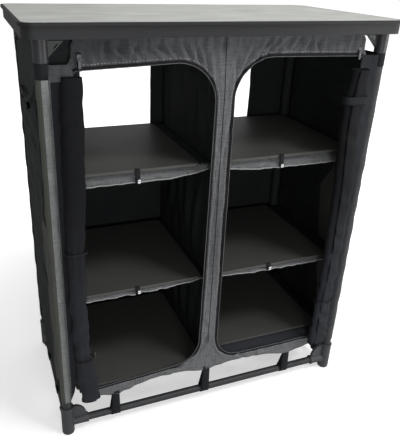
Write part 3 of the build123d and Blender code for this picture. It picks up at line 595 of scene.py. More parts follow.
# %% Places on the frame
leg_low, leg_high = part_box("leg_front_right")
leg_x, leg_y = (leg_low.x + leg_high.x) / 2, -(leg_low.y + leg_high.y) / 2
rail_low, rail_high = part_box("top_rail_front")
rail_z = (rail_low.z + rail_high.z) / 2
channel_radius = 0.01045
channel_wrap = 1.42 * math.pi * channel_radius
cloth_middle = leg_y + channel_radius
notch_z = 0.979
centre_x = -0.012
strap_x = [-0.279, -0.012, 0.254]
strap_low_z = [0.101, 0.112, 0.101]
half_strap = 0.0125
shelf_tops = {"upper": 0.732, "middle": 0.410, "floor": 0.155}
board_top = {name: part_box(name + "_board")[1].z for name in shelf_names}
print("legs at", round(leg_x, 4), round(leg_y, 4), "rail at", round(rail_z, 4))


def upper_outline(half_width, half_channel):
    """Right half of a panel's upper edge: the channel's end, the notch and the corner."""
    notch = half_channel + 0.008
    return [(half_channel, rail_z + channel_wrap), (half_channel, rail_z), (notch, notch_z + 0.036),
            (notch, notch_z + 0.014), (notch + 0.008, notch_z), (half_width, notch_z)]


def mirrored(points):
    """The same edge on the other side, in the opposite order."""
    return [(-x, z) for x, z in reversed(points)]


def arch(start, crown, end, steps=14):
    """A shallow arch between two points."""
    lift = crown - (start[1] + end[1]) / 2
    return [(start[0] + (end[0] - start[0]) * part,
             start[1] + (end[1] - start[1]) * part + 4 * lift * part * (1 - part))
            for part in (i / steps for i in range(1, steps))]


def wrap_channel(v, outward):
    """Depth and height of a sheet that runs up a panel and over the rail's channel."""
    angle = np.clip((v - rail_z) / channel_radius, 0, None)
    depth = np.where(v > rail_z, leg_y + (channel_radius + outward) * np.cos(angle), cloth_middle + outward)
    height = np.where(v > rail_z, rail_z + (channel_radius + outward) * np.sin(angle), v)
    return depth, height


# %% [markdown]
# The front panel hangs from the front rail by a channel. Its two door openings are D-shaped, its
# hem is cut up in two arches between the hem straps, and the cloth is gathered over the openings.

# %% Front panel's cut
panel_half = 0.4005
door_hinge = 0.350
door_corners = {
    "left": [(-0.350, 0.137), (-0.041, 0.156), (-0.033, 0.979), (-0.350, 0.966)],
    "right": [(0.350, 0.146), (0.015, 0.146), (0.014, 0.984), (0.350, 0.978)]}
doors = {side: rounded(points, [0.008, 0.074, 0.092, 0.008], 14) for side, points in door_corners.items()}
rise = [(panel_half, 0.165), (panel_half - 0.028, 0.150), (panel_half - 0.064, 0.115)]
left_tail = [(0.018 - panel_half, 0.175), (0.012 - panel_half, 0.143), (-panel_half, 0.112)]
strap_ends = [[(x + half_strap, z), (x - half_strap, z)] for x, z in zip(strap_x, strap_low_z)]
hem = (rise + strap_ends[2] + arch(strap_ends[2][1], 0.121, strap_ends[1][0]) + strap_ends[1]
       + arch(strap_ends[1][1], 0.125, strap_ends[0][0]) + strap_ends[0] + mirrored(rise)[:2] + left_tail)
upper = upper_outline(panel_half, 0.345)
front_outline = upper + hem + mirrored(upper)
sleeve_lap = panel_half - 0.004
border_top = 0.946
colour_seams = [[(-panel_half + 0.001, border_top), (-door_hinge - 0.001, border_top)],
                [(-sleeve_lap, 0.945), (-sleeve_lap, 0.160)], [(sleeve_lap, 0.978), (sleeve_lap, 0.166)]]
front_flat, front_faces = cut_cloth(front_outline, 0.0055, list(doors.values()), colour_seams)
print("front panel has", len(front_faces), "triangles")


# %% Front panel's folds
gathers = (
    (-135, 980, -209, 1024, 5.5, 3.4), (-158, 978, -190, 1026, 6, 2.6),
    (-132, 984, -162, 1024, 5.5, 3.6), (-102, 975, -128, 1022, 6, 3.8), (-73, 955, -102, 1022, 6, 3.8),
    (-52, 925, -78, 1014, 5.5, 3.4), (-32, 860, -50, 1010, 5, 2.6), (8, 840, 6, 1000, 5.5, 2.4),
    (12, 930, 50, 1018, 5.5, 3.2), (32, 945, 86, 1020, 6, 3.6), (64, 968, 108, 1024, 5.5, 3.4),
    (96, 980, 130, 1024, 6, 3.6), (132, 984, 165, 1022, 6, 3.2), (172, 986, 200, 1022, 6, 3),
    (-245, 984, -280, 1020, 6.5, 3), (-212, 984, -243, 1022, 6, 3), (222, 988, 198, 1026, 7, 2.4),
    (-240, 985, -222, 1026, 8, 2.2), (-300, 985, -292, 1024, 9, 2), (-16, 700, 2, 860, 6, 2.2),
    (-28, 560, -18, 760, 5, 1.8), (4, 340, -4, 640, 6, 2), (-30, 330, -26, 560, 5, 1.6),
    (-130, 125, -40, 185, 8, 3.4), (-60, 145, -20, 240, 7, 3), (100, 122, 30, 172, 8, 3),
    (30, 150, 4, 230, 7, 2.6), (-250, 112, -150, 140, 9, 2.2), (240, 112, 140, 138, 9, 2.4),
    (290, 112, 330, 140, 8, 2.2))
ridges = [(x1, z1, x2, z2, width, 1.7 * lift) for x1, z1, x2, z2, width, lift in gathers]
valleys = [(x1 + 1.3 * width, z1, x2 + 1.3 * width, z2, 0.55 * width, -2.3 * lift)
           for x1, z1, x2, z2, width, lift in gathers]


def front_bulge(u, v):
    """How far the front cloth stands out from its plane."""
    near_rail = ease(v, 0.93, 1.015) * ease(1.05 - v, 0.0, 0.03)
    height = 0.0016 * near_rail * ripples(u, v, 3, 0.020, 0.0, 0.5)
    height = height + 0.0012 * ripples(u, v, 5, 0.10) + 0.0007 * ripples(u, v, 6, 0.030)
    to_zip = np.minimum(edge_distance(u, v, doors["left"]), edge_distance(u, v, doors["right"]))
    puckers = np.cos((u + v) * 2 * math.pi / 0.0125) * np.exp(-((to_zip - 0.011) / 0.005) ** 2)
    height = height + 0.0008 * puckers + creases(u, v, ridges + valleys)
    height = height * (0.35 + 0.65 * ease(to_zip, 0.002, 0.012))
    seam = np.exp(-((u - centre_x) / 0.003) ** 2)
    height = height * (1 - 0.8 * seam) + 0.0007 * seam
    at_leg = ease(panel_half - np.abs(u), 0.0, 0.012)
    return np.clip(height, -0.0075, 0.0085) * (0.3 + 0.7 * at_leg)


def on_front(flat, clear):
    """Places that lie on the front cloth's folds, with their middle clear of it."""
    x, z = np.asarray(flat).T
    return np.column_stack((x, -(cloth_middle + front_bulge(x, z) + clear), z))


def black_border(x, z):
    """The black strips between the doors and the legs."""
    top = border_top if x < 0 else notch_z + 0.001
    return door_hinge - 0.0005 < abs(x) and x > -sleeve_lap and z < top


u, v = front_flat.T
out = front_bulge(u, v)
print("front cloth stands out by", round(out.min() * 1000, 1), "to", round(out.max() * 1000, 1), "mm")
hem_turn = edge_distance(u, v, divided(front_outline, 0.02))
depth, height = wrap_channel(v, out + 0.0008 * (1 - ease(hem_turn, 0.009, 0.0105)) * (v < 0.2))
front = hang("front_panel_cloth", np.column_stack((u, -depth, height)), front_faces, front_flat,
             grey_heather, "grey_cloth", "front_panel", "top_rail_front")
second_cloth(front, front_flat, roll_weave, black_border)
# Painted shade: darker under the tabletop's overhang (most at the left), in the fold at the left top corner
# and in a band at mid height.
under_top = ease(v, 0.94, 1.0)
at_left_corner = ease(-u, 0.33, 0.36) * ease(v, 0.92, 0.95) * (1 - under_top)
paint_shade(front, under_top * (0.40 + 0.35 * ease(-u, 0.10, 0.30) + 0.10 * ease(u, 0.10, 0.30))
          + 0.35 * np.exp(-((v - 0.55) / 0.16) ** 2) + 0.40 * at_left_corner)


# %% [markdown]
# Rows of pale stitches follow the door openings. Each stitch is a small flat piece that lies on the
# cloth, and every one takes the height of the fold under it.

# %% Stitches
stitch_away, stitch_pitch, stitch_length, stitch_width = 0.0105, 0.0075, 0.0040, 0.0010


def outward_ways(spots, ahead, middle):
    """Unit directions across a path that lead away from a middle point."""
    ways = np.column_stack((ahead[:, 1], -ahead[:, 0])) / np.hypot(*ahead.T)[:, None]
    return ways if ((spots - middle) * ways).sum() > 0 else -ways


for side, _ in sides:
    loop = np.array(divided(doors[side], stitch_pitch))
    ahead = np.roll(loop, -1, 0) - np.roll(loop, 1, 0)
    ahead /= np.hypot(*ahead.T)[:, None]
    outward = outward_ways(loop, ahead, loop.mean(0))
    spots = loop + outward * stitch_away
    kept = (np.abs(spots[:, 0]) < door_hinge - 0.012) & (np.abs(np.abs(loop[:, 0]) - door_hinge) > 0.002)
    flat = np.array([spot + along * a * stitch_length / 2 + across * b * stitch_width / 2
                     for spot, along, across in zip(spots[kept], ahead[kept], outward[kept])
                     for a, b in ((-1, -1), (1, -1), (1, 1), (-1, 1))])
    faces = [[i, i + 1, i + 2, i + 3] for i in range(0, len(flat), 4)]
    sew(side + "_door_stitches", on_front(flat, 0.0009), faces, flat, stitch_thread, 0.0005,
        "grey_cloth", "front_panel")
    print(side, "door has", len(faces), "stitches")


# %% [markdown]
# A thin dark seam runs down the middle of the front panel, over the same folds.

# %% Centre seam
seam_z = np.linspace(0.205, 1.036, 140)
seam_x = centre_x - 0.003 * ease(seam_z, 0.90, 1.0)
make_pipe("front_centre_seam", on_front(np.column_stack((seam_x, seam_z)), 0.0007), 0.0008, tape_weave,
          "grey_cloth", "front_panel")


# %% [markdown]
# The back panel is the same cut in black, with two window openings instead of doors.

# %% Back panel
windows = [rounded([(x - 0.1255, 0.700), (x + 0.1255, 0.700), (x + 0.1255, 0.950), (x - 0.1255, 0.950)],
                   [0.025] * 4, 8) for x in (-0.1525, 0.1765)]
back_rise = [(panel_half, 0.165), (panel_half - 0.028, 0.150), (panel_half - 0.064, 0.132)]
back_hem = [(strap_x[2] + half_strap, 0.118), (strap_x[0] - half_strap, 0.118)]
back_outline = upper + back_rise + back_hem + mirrored(back_rise) + mirrored(upper)
back_creases = (
    (-300, 700, -120, 450, 14, 3), (280, 700, 120, 420, 14, 3), (-340, 300, -100, 160, 13, 3),
    (340, 280, 120, 160, 13, 3), (-50, 650, 30, 980, 12, 3), (-340, 970, -200, 1010, 10, 2.5))
back_flat, back_faces = cut_cloth(back_outline, 0.010, windows)
u, v = back_flat.T
out = 0.0016 * ripples(u, v, 21, 0.16) + 0.0007 * ripples(u, v, 22, 0.05) + creases(u, v, back_creases)
depth, height = wrap_channel(v, np.clip(out, -0.003, 0.007) * ease(panel_half - np.abs(u), 0.0, 0.02))
back = hang("back_panel_cloth", np.column_stack((-u, depth, height)), back_faces, back_flat, black_weave,
            "black_cloth", "back_panel", "top_rail_back")
# Painted shade at half strength all over the back panel.
paint_shade(back, np.full(len(back_flat), 0.5))


# %% [markdown]
# The side panels hang from the side rails. Near the front legs a strip of the cloth catches the light,
# and it gets a lighter dark-grey copy of the black cloth as painted light. The left one has a flap over
# its front notch, whose lower corner is turned in behind the front panel.

# %% Side panels
side_half = 0.1885
strip_edge = [(0.092, -0.115), (0.140, -0.108), (0.264, -0.092), (0.372, -0.072), (0.458, -0.053),
              (0.571, -0.041), (0.674, -0.100), (0.785, -0.139), (0.800, -0.170), (0.940, -0.178)]
side_creases = (
    (75, 830, -165, 775, 9, 4), (-120, 790, -45, 520, 8, 3), (-45, 580, -85, 240, 8, 2.6),
    (-165, 700, -172, 300, 6, 2.4), (100, 300, -80, 180, 12, 4), (140, 180, -20, 135, 10, -3.4))


def side_bulge(u, v, seed):
    """How far a side's cloth stands out. u runs from the front leg to the back leg."""
    at_leg = 1 - ease(np.minimum(u + 0.187, 0.187 - u), 0.0, 0.03)
    soft = 0.0014 * ripples(u, v, seed, 0.15) + 0.0007 * ripples(u, v, seed + 1, 0.05)
    slack = -0.004 * np.exp(-((u + 0.02) / 0.10) ** 2) * ease(v, 0.12, 0.35) * ease(1.0 - v, 0.0, 0.2)
    bulge = np.clip((soft + slack + creases(u, v, side_creases)) * (1 - at_leg), -0.007, 0.0055)
    return bulge * (1 - ease(v, 0.94, 0.96))


def painted_lit_strip(y, z):
    """The strip beside the front leg that gets painted light."""
    return z < 0.94 and y < np.interp(z, *zip(*strip_edge))


side_rise = [(side_half, 0.165), (side_half - 0.026, 0.150), (side_half - 0.062, 0.130),
             (side_half - 0.090, 0.116)]
side_hem = upper_outline(side_half, 0.133) + side_rise + mirrored(side_rise)
flap_top = rail_z + 0.004
front_edges = {"left": [(-side_half, flap_top), (-0.133, flap_top), (-0.133, rail_z + channel_wrap)],
               "right": mirrored(upper_outline(side_half, 0.103))}
strip_seam = [(y, z) for z, y in strip_edge[1:]]
for (name, way), seed in zip(sides, (31, 41)):
    side_flat, faces = cut_cloth(side_hem + front_edges[name], 0.0085, (), [strip_seam])
    u, v = side_flat.T
    flap = 0.0021 * ease(v, 0.94, 0.965) * ease(-0.118 - u, 0.0, 0.014) * (name == "left")
    depth, height = wrap_channel(v, side_bulge(u, v, seed) + flap)
    panel = hang(name + "_side_cloth", np.column_stack((way * (depth + leg_x - leg_y), u, height)),
                 faces if way > 0 else flipped(faces), side_flat, black_weave, "black_cloth",
                 name + "_side_panel", "top_rail_" + name)
    # The strip beside the leg gets the painted-lit copy of the black cloth.
    second_cloth(panel, side_flat, lit_black_weave, painted_lit_strip)

flap_outer, flap_inner, flap_low, flap_depth = -0.3985, -0.332, 0.945, -0.1835
flap_outline = [(flap_outer, flap_low), (flap_inner, flap_low), (flap_inner, 1.024), (flap_outer, 1.028)]
flap_flat, faces = cut_cloth(flap_outline, 0.006)
u, v = flap_flat.T
bow = 0.0015 * ripples(u, v, 47, 0.04) * ease(u, flap_outer, -0.385)
hang("left_flap_turned_in", np.column_stack((u, flap_depth + np.abs(bow), v)), faces, flap_flat, black_weave,
     "black_cloth", "left_side_panel", "top_rail_front")


# %% [markdown]
# A sleeve is a tube of cloth round a leg, closed by a seam. It wrinkles in long soft waves, because
# it is pulled on over the tube. The front sleeves are heather, the left one painted lighter and the
# right one painted darker as painted light and shade, with the side panel's painted-lit dark grey
# strip on their outer side, and every sleeve ends in a black band.

# %% Sleeves
def tube_sheet(name, ways, low, high, radius, seed, wrinkle, rows, *finish):
    """A round tube of cloth with wrinkles about a leg."""
    around = 40
    a, z = grid_of(np.linspace(0, 2 * math.pi, around + 1), np.linspace(low, high, rows))
    wave = ripples(radius * np.cos(a), z, seed, 0.06, math.pi / 2, 1.2)
    wave += 0.8 * ripples(radius * np.sin(a), z, seed + 1, 0.11, math.pi / 2, 0.8)
    r = radius + wrinkle * (wave - 0.2)
    points = np.column_stack((ways[0] * leg_x + r * np.cos(a), ways[1] * leg_y + r * np.sin(a), z))
    by_row = points.reshape(rows, around + 1, 3)
    by_row[:, -1] = by_row[:, 0]
    return sew(name, points, quads(rows, around + 1), np.column_stack((a * radius, z)), *finish)


sleeve_radius, sleeve_cut_radius, band_radius = 0.0140, 0.0138, 0.0142
# Painted light and shade: the left sleeve's heather is a lighter copy and the right one's a darker copy.
front_heather = {-1: lit_left_leg_heather, 1: shaded_right_leg_heather}
strip_turns = {-1: (68, 256), 1: (20, 200)}
for name, ways in corner_ways.items():
    way_x, way_y = ways
    low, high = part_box("sleeve_" + name)
    cloth = black_weave if way_y > 0 else front_heather[way_x]
    sleeve = tube_sheet(f"sleeve_{name}_cloth", ways, low.z, high.z, sleeve_radius, 50 + len(name) * way_x,
                        0.0005, 90, cloth, 0.0011, "grey_cloth" if way_y < 0 else "black_cloth",
                        "sleeve_" + name)
    # Part of each front sleeve gets the same painted-lit copy of the black cloth.
    if way_y < 0:
        sleeve.data.materials.append(lit_black_weave)
        for face in sleeve.data.polygons:
            turn = math.degrees(math.atan2(face.center.y + leg_y, face.center.x - way_x * leg_x)) % 360
            if strip_turns[way_x][0] < turn < strip_turns[way_x][1]:
                face.material_index = 1

low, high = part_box("sleeve_top_bands")
for name, ways in corner_ways.items():
    tube_sheet("sleeve_band_" + name, ways, low.z - 0.002, high.z, band_radius, 70, 0.0003, 9,
               band_webbing, 0.0014, "webbing", "sleeve_top_bands")


# %% [markdown]
# The centre divider is one black sheet between the front and back panels. It is slack, so it falls
# in upright folds, and it lies flat where the shelves are sewn to it.

# %% Divider
low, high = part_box("centre_divider")
divider_creases = (
    (20, 760, -60, 930, 12, -5), (-110, 780, -150, 960, 10, -4.5), (110, 750, 70, 980, 12, -4),
    (-60, 440, -120, 700, 12, -4), (-90, 190, -140, 380, 12, 4))
flat, faces = cut_cloth([(low.y, low.z), (high.y, low.z), (high.y, high.z), (low.y, high.z)], 0.009)
u, v = flat.T
at_edge = ease(np.minimum(u - low.y, high.y - u), 0.0, 0.05)
fold = at_edge * (0.0030 * ripples(u, v, 81, 0.07, 0.0, 0.7) + creases(u, v, divider_creases))
fold = fold + 0.0006 * ripples(u, v, 82, 0.04)
for shelf in shelf_tops.values():
    fold = fold * ease(np.abs(v - shelf + 0.004), 0.008, 0.05)
hang("centre_divider_cloth", np.column_stack((centre_x + np.clip(fold, -0.006, 0.006), u, v)), faces, flat,
     black_weave, "black_cloth", "centre_divider", "front_panel", "back_panel")


# %% [markdown]
# Each shelf is a sling of cloth with a stiff board on it. At the front of the upper two the cloth
# hangs down over the edge as a short valance. It is tucked in under the board, swings forwards to
# its piped hem and rises towards the divider. The floor's slings run on to the front panel.

# %% Slings
sling_back = 0.2072
sling_end = 0.4192
beside_divider = 0.0012
sling_fronts = {"upper": 0.165, "middle": 0.169, "floor": 0.2070}
valance = {"upper": (0.033, 0.016), "middle": (0.017, 0.007), "floor": (0.0, 0.0)}
swings = {"upper": (0.024, 0.0142), "middle": (0.013, 0.0105), "floor": (0.013, 0.0105)}
floor_laps = {"left": (0.004, 0.044), "right": (0.027, 0.027)}
hem_sag = {"left_upper": 0.000, "left_middle": 0.001, "right_upper": 0.002, "right_middle": 0.001}


def shape_sling(side, way, level, u, v):
    """Places of a sling's points: v runs from the back over the front edge and down."""
    edge = sling_fronts[level] + sling_back
    bed = board_top[f"{side}_{level}"] - 0.007
    hanging = np.clip(v - edge, 0, None)
    seed = 90 + len(level) + way
    swing = ease(hanging, 0.0, swings[level][0])
    sway = swing * (0.0013 * ripples(u, v * 0.3, seed, 0.050, 0.0, 0.5)
                    + 0.0011 * ripples(u, v, seed + 3, 0.021, 0.6, 1.5))
    y = np.where(v < edge, sling_back - v, -sling_fronts[level]) - sway - swings[level][1] * swing
    z = np.where(v < edge, bed, bed - hanging * (1 - 0.10 * swing))
    if level == "floor":
        (x1, z1), (x2, z2) = door_corners[side][:2]
        sill = z1 + (z2 - z1) * (centre_x + way * u - x1) / (x2 - x1)
        past_board = ease(v, edge - floor_laps[side][0], edge)
        slack = 0.0006 * ripples(u, v, seed + 5, 0.05) + 0.0012 * ripples(u, v, seed + 7, 0.045)
        z = z + (np.minimum(bed, sill - 0.004) - bed) * past_board + 2 * slack * past_board * (1 - past_board)
        return centre_x + way * (beside_divider + u), y, z
    rounding = 0.7 * 0.0012 * np.exp(-((v - edge) / 0.003) ** 2)
    return centre_x + way * (beside_divider + u), y + rounding, z - rounding


for side, way in sides:
    span = abs(way * sling_end - (centre_x + way * beside_divider))
    round_leg = [(0, 0), (span - 0.026, 0), (span - 0.024, 0.022), (span, 0.026)]
    for level, (drop, lift) in valance.items():
        name = f"{side}_{level}"
        edge = sling_fronts[level] + sling_back
        if level == "floor":
            cut_away = span - floor_laps[side][1]
            front_edge = [(span, edge - 0.050), (span - 0.024, edge - 0.046), (cut_away, edge - 0.034),
                          (cut_away, edge), (0, edge)]
        else:
            low_z = edge + drop - 0.006
            front_edge = [(span * (1 - i / 14), low_z + hem_sag[name] * math.sin(math.pi * i / 10))
                          for i in range(11)]
            front_edge += [(0.095, low_z - 0.002), (0.045, low_z - lift * 0.55), (0, low_z - lift)]
        flat, faces = cut_cloth(round_leg + front_edge, 0.0075)
        cloth, slot = (roll_weave, "black_cloth") if level == "floor" else (black_weave, "grey_cloth")
        sling = hang(name + "_sling_cloth", np.column_stack(shape_sling(side, way, level, *flat.T)),
                     faces if way > 0 else flipped(faces), flat, cloth, slot, name + "_sling",
                     name + "_board")
        second_cloth(sling, flat, grey_heather, lambda u, v: v > edge + 0.001)
        if level != "floor":
            # The piping along the hem carries the painted-lit heather.
            hem_line = np.array(divided(front_edge, 0.006, closed=False)[:-1])
            x, y, z = shape_sling(side, way, level, *hem_line.T)
            make_pipe(name + "_lit_hem_piping", np.column_stack((x, y - 0.0004, z)), 0.0017, lit_hem_piping,
                      "grey_cloth", name + "_sling")


# %% [markdown]
# The doors are rolled up to the sides. Each is a real spiral of cloth with three turns, so the
# layers show at its ends. Bands draw it in, and the outer turn is creased between them. A roll is
# given by sections: their height, the middle's place, the width and the depth.

# %% Door rolls
roll_y = -0.2285
roll_cloth_width = 0.318
left_sections = [(0.128, -0.350, 0.052, 0.031), (0.190, -0.353, 0.054, 0.031), (0.262, -0.363, 0.042, 0.027),
                 (0.400, -0.368, 0.045, 0.031), (0.566, -0.367, 0.045, 0.027), (0.700, -0.362, 0.050, 0.031),
                 (0.850, -0.3585, 0.050, 0.031), (0.958, -0.357, 0.048, 0.027)]
right_sections = [(0.135, 0.342, 0.060, 0.031), (0.285, 0.341, 0.050, 0.027), (0.400, 0.346, 0.051, 0.031),
                  (0.643, 0.343, 0.060, 0.031), (0.800, 0.329, 0.055, 0.031), (0.876, 0.333, 0.062, 0.027),
                  (0.950, 0.335, 0.046, 0.031)]


def roll_shape(sections, z):
    """Middle, width and depth of a roll at each height."""
    heights, *values = zip(*sections)
    return [np.interp(z, heights, value) for value in values]


def superellipse(angle, power):
    """A rounded box as a unit curve."""
    c, s = np.cos(angle), np.sin(angle)
    return np.sign(c) * np.abs(c) ** (2 / power), np.sign(s) * np.abs(s) ** (2 / power)


def make_roll(name, sections, way, seed, tie_levels, wrinkles):
    """A rolled door: a spiral sheet, creased on its outer turn."""
    turns, around, rows = 3, 54, 120
    columns = turns * around + 1
    s, z = grid_of(np.linspace(0, 1, columns), np.linspace(sections[0][0], sections[-1][0], rows))
    middle, width, deep = roll_shape(sections, z)
    angle = -1.9 + 2 * math.pi * turns * s
    shrink = 0.0042 * turns * s
    cx, cy = superellipse(angle, 2.7)
    nearest_tie = np.min([np.abs(z - level) for level in tie_levels], 0)
    outer = np.exp(-(s * 3.2) ** 4)
    girth = angle * 0.018
    crumple = ripples(girth, z, seed, 0.075, 1.1, 1.2) + 0.7 * ripples(girth, z, seed + 1, 0.032, 0.9, 1.6)
    crumple += 1.2 * np.abs(ripples(girth, z, seed + 2, 0.09, 1.2, 0.9)) - 0.6
    crumple -= 1.1 * np.exp(-(ripples(girth, z, seed + 3, 0.07, 0.5, 1.6) / 0.22) ** 2)
    drawn = np.exp(-(nearest_tie / 0.030) ** 2) * np.cos(girth * 2 * math.pi / 0.011 + seed)
    slack_low = 0.0011 + 0.0012 * (1 - ease(z, 0.35, 0.60))
    puff = 0.0008 + slack_low * ease(nearest_tie, 0.004, 0.05) * crumple + 0.0009 * drawn
    for level, reach, pitch, height in wrinkles:
        puff = puff + height * np.exp(-((z - level) / reach) ** 2) * np.sin(
            2 * math.pi * (z + 0.05 * girth) / pitch)
    pinched = puff * outer - 0.0015 * (1 - ease(nearest_tie, 0.002, 0.02)) - 0.0008
    x = middle + way * (width / 2 - shrink + pinched) * cx
    y = roll_y + (deep / 2 - shrink * 0.72 + pinched) * cy
    faces = quads(rows, columns)
    roll = sew(name + "_cloth", np.column_stack((x, y, z)), flipped(faces) if way > 0 else faces,
               np.column_stack((s * roll_cloth_width, z)), roll_weave, 0.0011, "black_cloth", name)
    # Painted shade: the roll is darker towards its top.
    paint_shade(roll, ease(z, 0.30, 0.75))


make_roll("left_door_roll", left_sections, -1, 101, [0.262, 0.566],
          [(0.940, 0.022, 0.0085, 0.0009), (0.330, 0.05, 0.045, 0.0016), (0.490, 0.04, 0.06, 0.0012)])
make_roll("right_door_roll", right_sections, 1, 111, [0.285, 0.876],
          [(0.935, 0.012, 0.010, 0.0008), (0.360, 0.06, 0.040, 0.0020), (0.200, 0.05, 0.030, 0.0018),
           (0.520, 0.05, 0.05, 0.0014)])


# %% [markdown]
# Bands of webbing hold the rolls. Each is a closed loop a little larger than the roll under it.

# %% Roll bands
def make_band(name, sections, level, tall, material):
    """A closed loop of webbing round a roll."""
    around, rows = 72, 5
    middle, width, deep = roll_shape(sections, level)
    angle, row = grid_of(np.linspace(0, 2 * math.pi, around + 1)[:-1], np.linspace(-tall / 2, tall / 2, rows))
    cx, cy = superellipse(angle, 3.0)
    clear = 0.0012 + 0.0004 * np.cos(angle * 3 + row * 200)
    x, y = middle + (width / 2 + clear) * cx, roll_y + (deep / 2 + clear) * cy
    sew(name, np.column_stack((x, y, level + row)), quads(rows, around, closed=True),
        np.column_stack((angle * 0.02, row)), material, 0.0011, "webbing", "door_ties")


make_band("left_tie_low", left_sections, 0.262, 0.004, tape_weave)
make_band("left_tie_high", left_sections, 0.566, 0.005, band_webbing)
make_band("right_tie_low", right_sections, 0.285, 0.005, band_webbing)
make_band("right_tie_high", right_sections, 0.876, 0.020, band_webbing)


# %% [markdown]
# Zips run round the door openings: a woven tape, and on its inner edge a row of small coil teeth.
# The tape follows the folds of the front cloth, because both use the same height. Above the
# opening a short upright piece carries the slider.

# %% Zip tapes
slider_x, tape_clear, coil_clear = 0.3375, 0.0014, 0.0022


def open_edge(loop):
    """The opening's edge without its hinge side, as an open path."""
    away = [i for i, (x, z) in enumerate(loop) if abs(abs(x) - door_hinge) < 0.0005]
    start = max(i for i in away if i < len(loop) // 2)
    end = min(i for i in away if i > len(loop) // 2)
    return np.array(loop[start:end + 1])


def along_path(path, step):
    """Evenly spaced places along a path, and their points."""
    total = np.concatenate(([0], np.cumsum(np.hypot(*np.diff(path, axis=0).T))))
    places = np.arange(0, total[-1], step)
    return places, np.column_stack([np.interp(places, total, values) for values in path.T])


for side, way in sides:
    slot_and_node = ("webbing", side + "_zip_tape")
    path = open_edge(doors[side])
    places, spots = along_path(path, 0.005)
    outward = outward_ways(spots, np.gradient(spots, axis=0), np.mean(doors[side], 0))
    offsets = np.array((-0.0006, 0.002, 0.0045, 0.0068))
    flat = (spots[:, None] + outward[:, None] * offsets[:, None]).reshape(-1, 2)
    faces = quads(len(places), 4)
    sew(side + "_zip_tape_cloth", on_front(flat, tape_clear), faces if way > 0 else flipped(faces),
        [(offset, place) for place in places for offset in offsets], tape_weave, 0.0008, *slot_and_node)
    places, spots = along_path(path, 0.0009)
    make_pipe(side + "_zip_coil", on_front(spots, coil_clear),
              0.00085 + 0.00035 * np.sin(2 * math.pi * places / 0.0027), coil_plastic, *slot_and_node, 5)
    top_z = door_corners[side][3][1]
    run = [(way * slider_x, -(cloth_middle + coil_clear), top_z + 0.002 + k * 0.004) for k in range(6)]
    make_pipe(side + "_zip_upright_coil", run, 0.0011, coil_plastic, *slot_and_node)
    ends = [(way * (slider_x + across), -(cloth_middle + tape_clear), z)
            for z in np.linspace(top_z - 0.001, 1.002, 6) for across in (-0.0045, -0.0015, 0.0015, 0.0045)]
    sew(side + "_zip_end_tape", ends, quads(6, 4), [(x, z) for x, _, z in ends], tape_weave, 0.0008,
        *slot_and_node)


# %% [markdown]
# Hem straps are webbing that goes round a bottom rail and up to the hem. Short straps also run over
# the shelves' front edges, each with a small buckle. Both are swept along a path.

# %% Straps
def make_strap(name, node, spots, aside, halves, places, thickness):
    """Webbing along a path, four points wide, with a half width and a place for each point."""
    points, flat = [], []
    for spot, half, place in zip(spots, halves, places):
        for across in (-half, -0.33 * half, 0.33 * half, half):
            points.append(Vector(spot) + Vector(aside) * across)
            flat.append((across, place))
    sew(name, points, quads(len(places), 4), flat, band_webbing, thickness, "webbing", node)


def make_hem_strap(name, node, x, y, outward, top):
    """A strap from the hem down, round the rail and up again behind."""
    radius, rail, wide, narrow = 0.0112, 0.035, 0.0125, 0.0105
    path = [(radius, top + 0.010 - (top + 0.010 - rail) * i / 4) for i in range(5)]
    path += [(radius * math.cos(angle), rail + radius * math.sin(angle))
             for angle in (-math.pi * i / 14 for i in range(1, 15))]
    path += [(-radius + (2 * radius - 0.0026) * i / 4, rail + (top - rail) * i / 4) for i in range(1, 5)]
    places = np.concatenate(([0], np.cumsum([math.dist(*pair) for pair in zip(path, path[1:])])))
    make_strap(name, node, [(x + outward[0] * out_by, y + outward[1] * out_by, z) for out_by, z in path],
               (-outward[1], outward[0], 0),
               [wide + (narrow - wide) * max(0, (z - rail) / (top - rail)) for _, z in path], places, 0.0013)


for number, (x, low_z) in enumerate(zip(strap_x, strap_low_z)):
    make_hem_strap(f"front_hem_strap_{number}", "front_hem_straps", x, -leg_y, (0, -1), low_z)
    make_hem_strap(f"back_hem_strap_{number}", "back_and_side_hem_straps", x, leg_y, (0, 1), 0.118)
for side, way in sides:
    for number, y in enumerate((-0.070, 0.080)):
        make_hem_strap(f"{side}_hem_strap_{number}", "back_and_side_hem_straps", way * leg_x, y, (way, 0),
                       0.116)

for side, x in (("left", -0.208), ("right", 0.175)):
    for level in ("upper", "middle"):
        top = shelf_tops[level]
        low_z = top - valance[level][0] - 0.001
        path = [(-0.1766, top + 0.0012), (-0.1801, top + 0.0012), (-0.1821, top - 0.001),
                (-0.1832, top - 0.010), (-0.1836, (top + low_z) / 2), (-0.1834, low_z)]
        make_strap(f"shelf_strap_{level}_{side}", "shelf_straps", [(x, y, z) for y, z in path], (1, 0, 0),
                   [0.006] * 6, [k * 0.008 for k in range(6)], 0.0009)


# %% [markdown]
# The side pocket is a slack sheet, sewn to the left side panel along its bottom and edges. Its
# mouth is bound, rises towards the front leg, and has a strap above it.

# %% Side pocket
pocket_half, pocket_low = 0.165, 0.610


def mouth(y):
    """Height of the pocket's mouth, which sags between its corners."""
    return 0.850 + np.where(y < 0, 0.050, -0.010) * (y / pocket_half) ** 2


def pocket_places(u, v, clear):
    """Where the pocket is: on the bulging panel, with its own bow on top."""
    bow = (0.003 + 0.007 * ((v - pocket_low) / 0.240) ** 2) * (1 - (u / pocket_half) ** 4)
    bow = bow * (1 - 0.6 * ease(u, -0.06, 0.10))
    bow = bow + 0.0018 * ripples(u, v, 121, 0.07) * ease(pocket_half - np.abs(u), 0, 0.03)
    out = side_bulge(u, v, 31) + clear + np.clip(bow, 0.0002, 0.021)
    return np.column_stack((-(leg_x + channel_radius + out), u, v))


